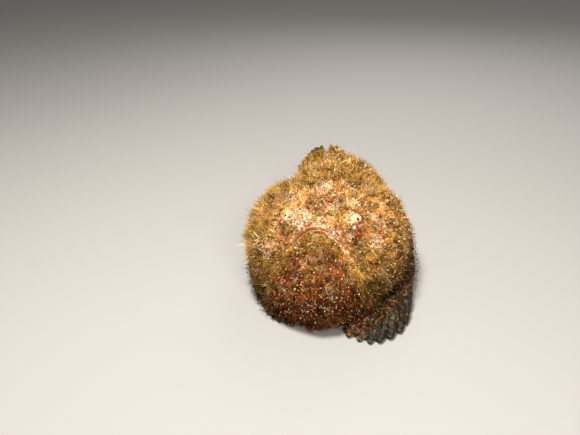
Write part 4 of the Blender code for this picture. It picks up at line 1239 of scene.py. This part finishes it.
TUFT_TONES = ("umber", "brown", "olive", "leaf", "gold", "peach", "cream", "orange")
SIDE_TUFTS = (0.08, 0.14, 0.20, 0.16, 0.22, 0.08, 0.10, 0.02)
JAW_TUFTS = (0.30, 0.22, 0.12, 0.08, 0.08, 0.04, 0.05, 0.11)
_, tuft_jaw, _, tuft_rim = zones(tuft_straight)
clumped = noise(tuft_straight, 0.0058, 67) + sprig_draw.normal(0.0, 0.07, CLUMPS)
tuft_rank = (np.argsort(np.argsort(clumped)) + 0.5) / CLUMPS
side_pick = np.searchsorted(np.cumsum(SIDE_TUFTS[:-1]), tuft_rank)
jaw_pick = np.searchsorted(np.cumsum(JAW_TUFTS[:-1]), tuft_rank)
low_jaw = tuft_jaw * (0.35 + 0.65 * step_up(tuft_straight[:, 2], 0.080, 0.052))
tuft_pick = np.where(sprig_draw.random(CLUMPS) < low_jaw, jaw_pick, side_pick)
tuft_colour = np.array([linear(tone) for tone in TUFT_TONES])[tuft_pick]
tuft_tone_light_and_shade = sprig_draw.uniform(0.55, 1.45, CLUMPS) * (0.62 + 0.76 * noise(tuft_straight, 0.0065, 68))
# Painted light and shade on the tufts: darker towards the bottom, lighter on the cheeks at the front,
# darker low on the left flank in front and low on the jaw, and much darker on the fins, partly for the
# fins' own dark tone.
tuft_tone_light_and_shade *= painted_low_shade(tuft_straight)[:, 0]
forward = step_up(tuft_straight[:, 1], -0.060, -0.085)
tuft_tone_light_and_shade *= 1.0 + 0.25 * forward * (1.0 - tuft_jaw) * step_up(tuft_straight[:, 2], 0.046, 0.060)
shaded_flank = forward * step_up(tuft_straight[:, 0], 0.012, 0.030)
shaded_flank *= step_up(tuft_straight[:, 2], 0.062, 0.046)
tuft_tone_light_and_shade *= 1.0 - 0.28 * shaded_flank
tuft_tone_light_and_shade *= 1.0 - 0.25 * tuft_jaw * step_up(tuft_straight[:, 2], 0.075, 0.045)
tuft_tone_light_and_shade *= 1.0 - 0.72 * np.maximum(tuft_rim, low_fin(tuft_straight, 0.060))


def array_mesh(name, vertices, corners, starts):
    """A new mesh from flat arrays: its vertices, each face's corners and where each face starts."""
    mesh = bpy.data.meshes.new(name)
    mesh.vertices.add(len(vertices))
    mesh.loops.add(len(corners))
    mesh.polygons.add(len(starts))
    mesh.vertices.foreach_set("co", vertices.astype(np.float32).ravel())
    mesh.loops.foreach_set("vertex_index", corners.astype(np.int32))
    mesh.polygons.foreach_set("loop_start", starts.astype(np.int32))
    mesh.update(calc_edges=True)
    return mesh


def bake_map(mesh, places):
    """The map for baking, with the place of each face corner."""
    layer = mesh.uv_layers.new(name="OFBake")
    layer.uv.foreach_set("vector", places.astype(np.float32).ravel())


def sprig_piece(name, chosen, draw, material):
    """One mesh of many sprigs. Its map has one small patch for each sprig, at its root's place."""
    vertices, facing, tip, patch, sprig = blades_of(chosen, draw)
    count = len(vertices)
    loops = np.array((0, 1, 3, 2, 2, 3, 5, 4, 4, 5, 6))
    starts = np.array((0, 4, 8))
    first = np.arange(count)[:, None] * 7
    loop_vertices = (first + loops[None, :]).ravel()
    loop_starts = (np.arange(count)[:, None] * len(loops) + starts[None, :]).ravel()
    mesh = array_mesh(name, vertices.reshape(-1, 3), loop_vertices, loop_starts)
    mesh.polygons.foreach_set("use_smooth", np.ones(len(loop_starts), bool))
    colour_layer(mesh, "markings", np.repeat(growth_colour(sprig, draw), 7, axis=0))
    value_layer(mesh, "tip_share", tip)
    bake_map(mesh, patch.reshape(-1, 2)[loop_vertices])
    mesh.normals_split_custom_set_from_vertices(np.repeat(facing, 7, axis=0))
    mesh.materials.append(material)
    item = placed(name, mesh)
    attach(item, "root")


def algae_material():
    """Soft matt turf: painted shade darkens each blade towards its root, where the blades shade each
    other, and painted light lifts it to pale gold at the tips.
    """
    sheen = {"Metallic": 0.0, "Roughness": 0.60, "Specular IOR Level": 0.12}
    material, tree, shader = new_material("turf_algae", **sheen)
    place = added(tree, "TexCoord", "Object")
    # Painted shade at each blade's root and painted light at its tip.
    root_shade_tip_light = ranged(tree, attribute(tree, "tip_share", "Fac"), 0.0, 1.0, 0.28, 1.45)
    mottle = added(tree, "TexNoise", "Fac", Vector=place, Scale=420.0, Detail=3.0)
    vary = ranged(tree, mottle, 0.3, 0.7, 0.7, 1.3)
    tone = mixed(tree, attribute(tree, "markings"), product(tree, root_shade_tip_light, vary), blend="MULTIPLY")
    tree.links.new(tone, shader.inputs["Base Color"])
    return material


HEAD_ENDS_Y = -0.03
TAIL_STARTS_Y = 0.084
turf = algae_material()
left = root_straight[:, 0] >= 0.0
away = rim_r > 0.5
jaw = (jaw_r + band_r > 0.5) & ~away
rest = ~(jaw | away)
head = rest & (root_straight[:, 1] < HEAD_ENDS_Y)
tail = rest & (root_straight[:, 1] >= TAIL_STARTS_Y)
trunk = rest & ~head & ~tail
regions = {
    "turf_jaw": jaw,
    "turf_fins": away,
    "turf_head_left": head & left,
    "turf_head_right": head & ~left,
    "turf_trunk_left": trunk & left,
    "turf_trunk_right": trunk & ~left,
    "turf_tail": tail,
}
blade_draw = np.random.default_rng(72)
most_sprigs = MOST_TRIANGLES // (BLADES * 5)
for name, mask in regions.items():
    members = np.flatnonzero(mask)
    parts = max(1, math.ceil(len(members) / most_sprigs))
    for number, chosen in enumerate(np.array_split(members, parts)):
        label = name if parts == 1 else f"{name}_{number + 1}"
        sprig_piece(label, chosen, blade_draw, turf)

# Grit: sand grains and crumbs of shell and coral caught in the turf and on the slime of the skin.
# Each is a small faceted grain that sits on the hide or a little way up the sprigs.

GRAINS = 22000
grit_draw = np.random.default_rng(75)
grit_weight = 0.45 + 2.2 * bare_v + 0.35 * jaw_v - 0.42 * rim_v
grit_weight *= step_up(eye_gap, 0.0062, 0.0075) * step_up(mouth_gap, 0.0012, 0.0024) * (1.0 - 0.8 * plain)
grit_weight *= step_up(places[:, 2], 0.003, 0.008) * step_up(outward[:, 2], -0.5, -0.1)
grain_at, grain_corners = surface_samples(skin.data, np.maximum(grit_weight, 0.0), GRAINS, grit_draw)
grain_normal = outward[grain_corners].mean(axis=1)
grain_straight = straightened(grain_at - SETTLE)
face_g, jaw_g, _, rim_g = zones(grain_straight)
bare_g = crusted(grain_straight)
climb = 0.0075 * (1.0 - 0.50 * face_g - 0.40 * jaw_g - 0.5 * rim_g) * (1.0 - 0.95 * bare_g)
climb = climb * grit_draw.random(GRAINS) ** 0.6 + 0.0002
grain_at = grain_at + grain_normal * climb[:, None]
GRIT_TONES = ("cream", "white", "peach", "orange", "coral", "rust", "dark", "gold")
FACE_GRIT = np.array((0.30, 0.14, 0.12, 0.14, 0.03, 0.07, 0.14, 0.06))
SIDE_GRIT = np.array((0.30, 0.10, 0.16, 0.12, 0.02, 0.03, 0.12, 0.15))
JAW_GRIT = np.array((0.14, 0.03, 0.14, 0.26, 0.03, 0.10, 0.18, 0.12))
grit_odds = face_g[:, None] * FACE_GRIT + jaw_g[:, None] * JAW_GRIT
grit_odds += np.clip(1.0 - face_g - jaw_g, 0.0, 1.0)[:, None] * SIDE_GRIT
grain_tone = picked(grit_odds, grit_draw)
grain_size = 0.00024 + 0.00080 * grit_draw.random(GRAINS) ** 2.5


def grit(name, material):
    """One mesh of all the grains, each an eight-sided crumb turned and stretched at random."""
    turned = np.linalg.qr(grit_draw.normal(size=(GRAINS, 3, 3)))[0]
    axes = turned * (grain_size[:, None] * grit_draw.uniform(0.6, 1.3, (GRAINS, 3)))[:, :, None]
    corners = np.concatenate([axes, -axes], axis=1) + grain_at[:, None, :]
    corners[..., 2] = np.maximum(corners[..., 2], 0.0002)
    right_handed = np.linalg.det(turned) > 0.0
    shape = np.array(
        ((0, 1, 2), (1, 3, 2), (3, 4, 2), (4, 0, 2), (1, 0, 5), (3, 1, 5), (4, 3, 5), (0, 4, 5))
    )
    faces = np.where(right_handed[:, None, None], shape[None], shape[None, :, ::-1])
    faces = (faces + np.arange(GRAINS)[:, None, None] * 6).reshape(-1, 3)
    mesh = array_mesh(name, corners.reshape(-1, 3), faces.ravel(), np.arange(0, faces.size, 3))
    tones = np.array([linear(tone) for tone in GRIT_TONES])[grain_tone]
    # Painted shade: the grit is darker towards the bottom, and darker on the fins, partly for the fins'
    # own dark tone.
    tones = tones * grit_draw.uniform(0.60, 1.10, (GRAINS, 1)) * painted_low_shade(grain_straight)
    tones = tones * (1.0 - 0.65 * np.maximum(rim_g, low_fin(grain_straight, 0.055))[:, None])
    colour_layer(mesh, "markings", np.repeat(tones, 6, axis=0))
    spread = np.array(((-1, 0), (0, -1), (0, 0), (1, 0), (0, 1), (0.5, 0.5))) * PATCH / 2.0
    patch = unwrapped(grain_straight)[:, None, :] + spread[None]
    bake_map(mesh, patch.reshape(-1, 2)[faces.ravel()])
    mesh.materials.append(material)
    item = placed(name, mesh)
    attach(item, "root")


def grit_material():
    """Chalky crumbs, mottled a little darker and lighter at random."""
    material, tree, shader = new_material("chalky_grit", Metallic=0.0, Roughness=0.45)
    place = added(tree, "TexCoord", "Object")
    dirt = added(tree, "TexNoise", "Fac", Vector=place, Scale=1500.0)
    shade = ranged(tree, dirt, 0.0, 1.0, 0.6, 1.3)
    tone = mixed(tree, attribute(tree, "markings"), shade, blend="MULTIPLY")
    tree.links.new(tone, shader.inputs["Base Color"])
    return material


grit("caught_grit", grit_material())

# Eyes: small raised balls, each with a black pupil in a pale iris that is flecked like the skin
# round it, under a clear wet cornea. Each is one ball set in its socket between the lids.

PUPIL_RADIUS = 0.0016
PUPIL_SHADE = 0.004
IRIS_RADIUS = 0.0030


def eye_material():
    """Glossy wet ball under a clear coat."""
    gloss = {"Metallic": 0.0, "Roughness": 0.12, "Coat Weight": 0.6, "Coat Roughness": 0.05}
    material, tree, shader = new_material("wet_eye", **gloss)
    tree.links.new(attribute(tree, "markings"), shader.inputs["Base Color"])
    return material


def eyeball(name, side, node, material):
    facing, level, up = round_frame(EYE_FACING[side])
    centre = EYE_CENTRE * (MIRROR if side < 0.0 else 1.0) + SETTLE
    rings = 40
    columns = 48
    lean = np.linspace(0.0, math.pi, rings + 2)
    radius = EYE_RADIUS * np.where(np.sin(lean) < 0.55, 1.03, 1.0) * np.where(lean < 1.2, 1.0, 0.98)
    ring = circle(columns, level, up)
    places = [centre + facing * radius[0]]
    for angle, size in zip(lean[1:-1], radius[1:-1]):
        places += list(centre + (ring * math.sin(angle) + facing * math.cos(angle)) * size)
    places.append(centre - facing * radius[-1])
    item = mesh_object(name, places, ring_faces(rings, columns))
    item.data.shade_smooth()
    spot = vertex_places(item.data) - centre
    depth = spot @ facing
    across = np.linalg.norm(spot - depth[:, None] * facing, axis=1)
    around = np.arctan2(spot @ up, spot @ level)
    oval = across * (1.0 + 0.12 * np.cos(2.0 * around))
    pupil = step_up(oval, PUPIL_RADIUS, PUPIL_RADIUS * 0.8) * (depth > 0.0)
    iris = step_up(across, IRIS_RADIUS, IRIS_RADIUS * 0.9) * (depth > 0.0)
    rays = 0.5 + 0.5 * np.sin(around * 13.0 + 6.0 * noise(spot, 0.0012, 81))
    ball = linear("orange") * 0.35 + linear("brown") * 0.5
    streaked = over(linear("orange") * 0.8, linear("cream"), rays)
    colour_layer(item.data, "markings", over(over(ball, streaked, iris), PUPIL_SHADE, pupil))
    item.data.materials.append(material)
    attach(item, "root")
    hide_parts(node)


wet_eye = eye_material()
eyeball("left_eye", 1.0, "eye_L", wet_eye)
eyeball("right_eye", -1.0, "eye_R", wet_eye)

# Skin threads: a few pale curly threads that hang on the chin below the mouth. Each is a thin
# tapered tube of skin rooted in the hide.

THREADS = 12
THREAD_SIDES = 5


def threads(name, material):
    draw = np.random.default_rng(91)
    places = []
    faces = []
    patches = []
    for _ in range(THREADS):
        x = draw.uniform(-0.030, 0.028)
        z = draw.uniform(0.030, 0.062)
        root = surface_hits(np.array([[x, -0.075, z]]), np.array([[0.0, -1.0, 0.0]]))[0]
        length = draw.uniform(0.006, 0.012)
        heading = unit(np.array((draw.uniform(-1.0, 1.0), -0.35, draw.uniform(-0.8, 0.5))))
        share = np.linspace(0.0, 1.0, 18)
        loops = draw.uniform(1.4, 2.8)
        phase = draw.uniform(0.0, 6.28)
        swing = length * 0.16 * share
        path = root + heading * (share * length)[:, None]
        path[:, 2] += np.sin(share * loops * 6.28 + phase) * swing
        path[:, 0] += np.cos(share * loops * 6.28 + phase) * swing
        path[:, 1] -= 0.0035 * np.sin(math.pi * share)
        path[:, 2] = np.maximum(path[:, 2], 0.003)
        first = len(places)
        sideways = np.tile((0.0, 1.0, 0.1), (len(path), 1))
        places += list(tube(path, 0.00028 - 0.00016 * share, THREAD_SIDES, sideways))
        for face in ring_faces(len(path) - 2, THREAD_SIDES):
            faces.append(tuple(first + index for index in face))
        corner = unwrapped(root[None])[0] - PATCH / 2.0
        count = len(places) - first
        for step in range(count):
            turn = (step % THREAD_SIDES) / THREAD_SIDES
            patches.append(corner + np.array((turn, step / count)) * PATCH)
    item = mesh_object(name, np.array(places) + SETTLE, faces)
    bake_map(item.data, np.array([patches[loop.vertex_index] for loop in item.data.loops]))
    item.data.shade_smooth()
    item.data.materials.append(material)
    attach(item, "root")


def thread_material():
    """Pale pinkish skin with faint darker bands."""
    material, tree, shader = new_material("pale_thread", Metallic=0.0, Roughness=0.6)
    place = added(tree, "TexCoord", "Object")
    bands = added(tree, "TexNoise", "Fac", Vector=place, Scale=500.0)
    tone = mixed(tree, (0.34, 0.20, 0.12, 1.0), (0.62, 0.50, 0.38, 1.0), bands)
    tree.links.new(tone, shader.inputs["Base Color"])
    return material


threads("chin_threads", thread_material())

# Floor, light and camera: a plain pale floor, soft studio lights and the photograph's viewpoint.
# The camera stands about 12 degrees to the fish's left and 28 degrees up, as fitted to its outline.


def floor():
    bpy.ops.mesh.primitive_plane_add(size=4.0, location=(0.0, 0.0, -0.0002))
    item = bpy.context.object
    item.name = "floor"
    material, _, _ = new_material("pale_floor", Base_Color=(0.38, 0.37, 0.355, 1.0), Roughness=0.9)
    item.data.materials.append(material)


def soft_light(name, place, size, power, tint):
    data = bpy.data.lights.new(name, "AREA")
    data.size = size
    data.energy = power
    data.color = tint
    item = placed(name, data)
    item.location = place
    item.rotation_mode = "QUATERNION"
    item.rotation_quaternion = (Vector((0.0, -0.03, 0.05)) - Vector(place)).to_track_quat("-Z", "Y")


floor()
soft_light("key", (-0.15, -0.30, 1.15), 0.26, 21.8, (1.0, 0.96, 0.90))
soft_light("fill", (0.35, -0.75, 0.62), 0.30, 5.0, (1.0, 0.93, 0.84))
soft_light("back", (0.10, 0.90, 0.80), 0.60, 3.5, (1.0, 0.98, 0.95))

world = bpy.data.worlds.new("studio")
world.use_nodes = True
world.node_tree.nodes["Background"].inputs["Color"].default_value = (1.0, 0.98, 0.95, 1.0)
world.node_tree.nodes["Background"].inputs["Strength"].default_value = 0.22
bpy.context.scene.world = world
bpy.context.scene.view_settings.view_transform = "Standard"

AZIMUTH = math.radians(12.1143)
ELEVATION = math.radians(28.0981)
ROLL = math.radians(-1.6473)
DISTANCE = 0.6679
AIM = np.array((0.0, -0.03, 0.055)) + SETTLE
SHIFT_RIGHT = -0.0417
SHIFT_UP = 0.0177
LENS = 36.0 * 622.0 / 580.0

backward = np.array(
    (
        math.sin(AZIMUTH) * math.cos(ELEVATION),
        -math.cos(AZIMUTH) * math.cos(ELEVATION),
        math.sin(ELEVATION),
    )
)
level = np.array((math.cos(AZIMUTH), math.sin(AZIMUTH), 0.0))
upward = np.cross(backward, level)
camera_right = level * math.cos(ROLL) + upward * math.sin(ROLL)
camera_up = upward * math.cos(ROLL) - level * math.sin(ROLL)
camera_data = bpy.data.cameras.new("camera")
camera_data.lens = LENS
camera_data.sensor_width = 36.0
camera_data.clip_start = 0.01
camera = placed("camera", camera_data)
spot = AIM + camera_right * SHIFT_RIGHT + camera_up * SHIFT_UP + backward * DISTANCE
turned = Matrix(np.stack([camera_right, camera_up, backward], axis=1).tolist())
camera.matrix_world = Matrix.Translation(Vector(spot)) @ turned.to_4x4()
bpy.context.scene.camera = camera
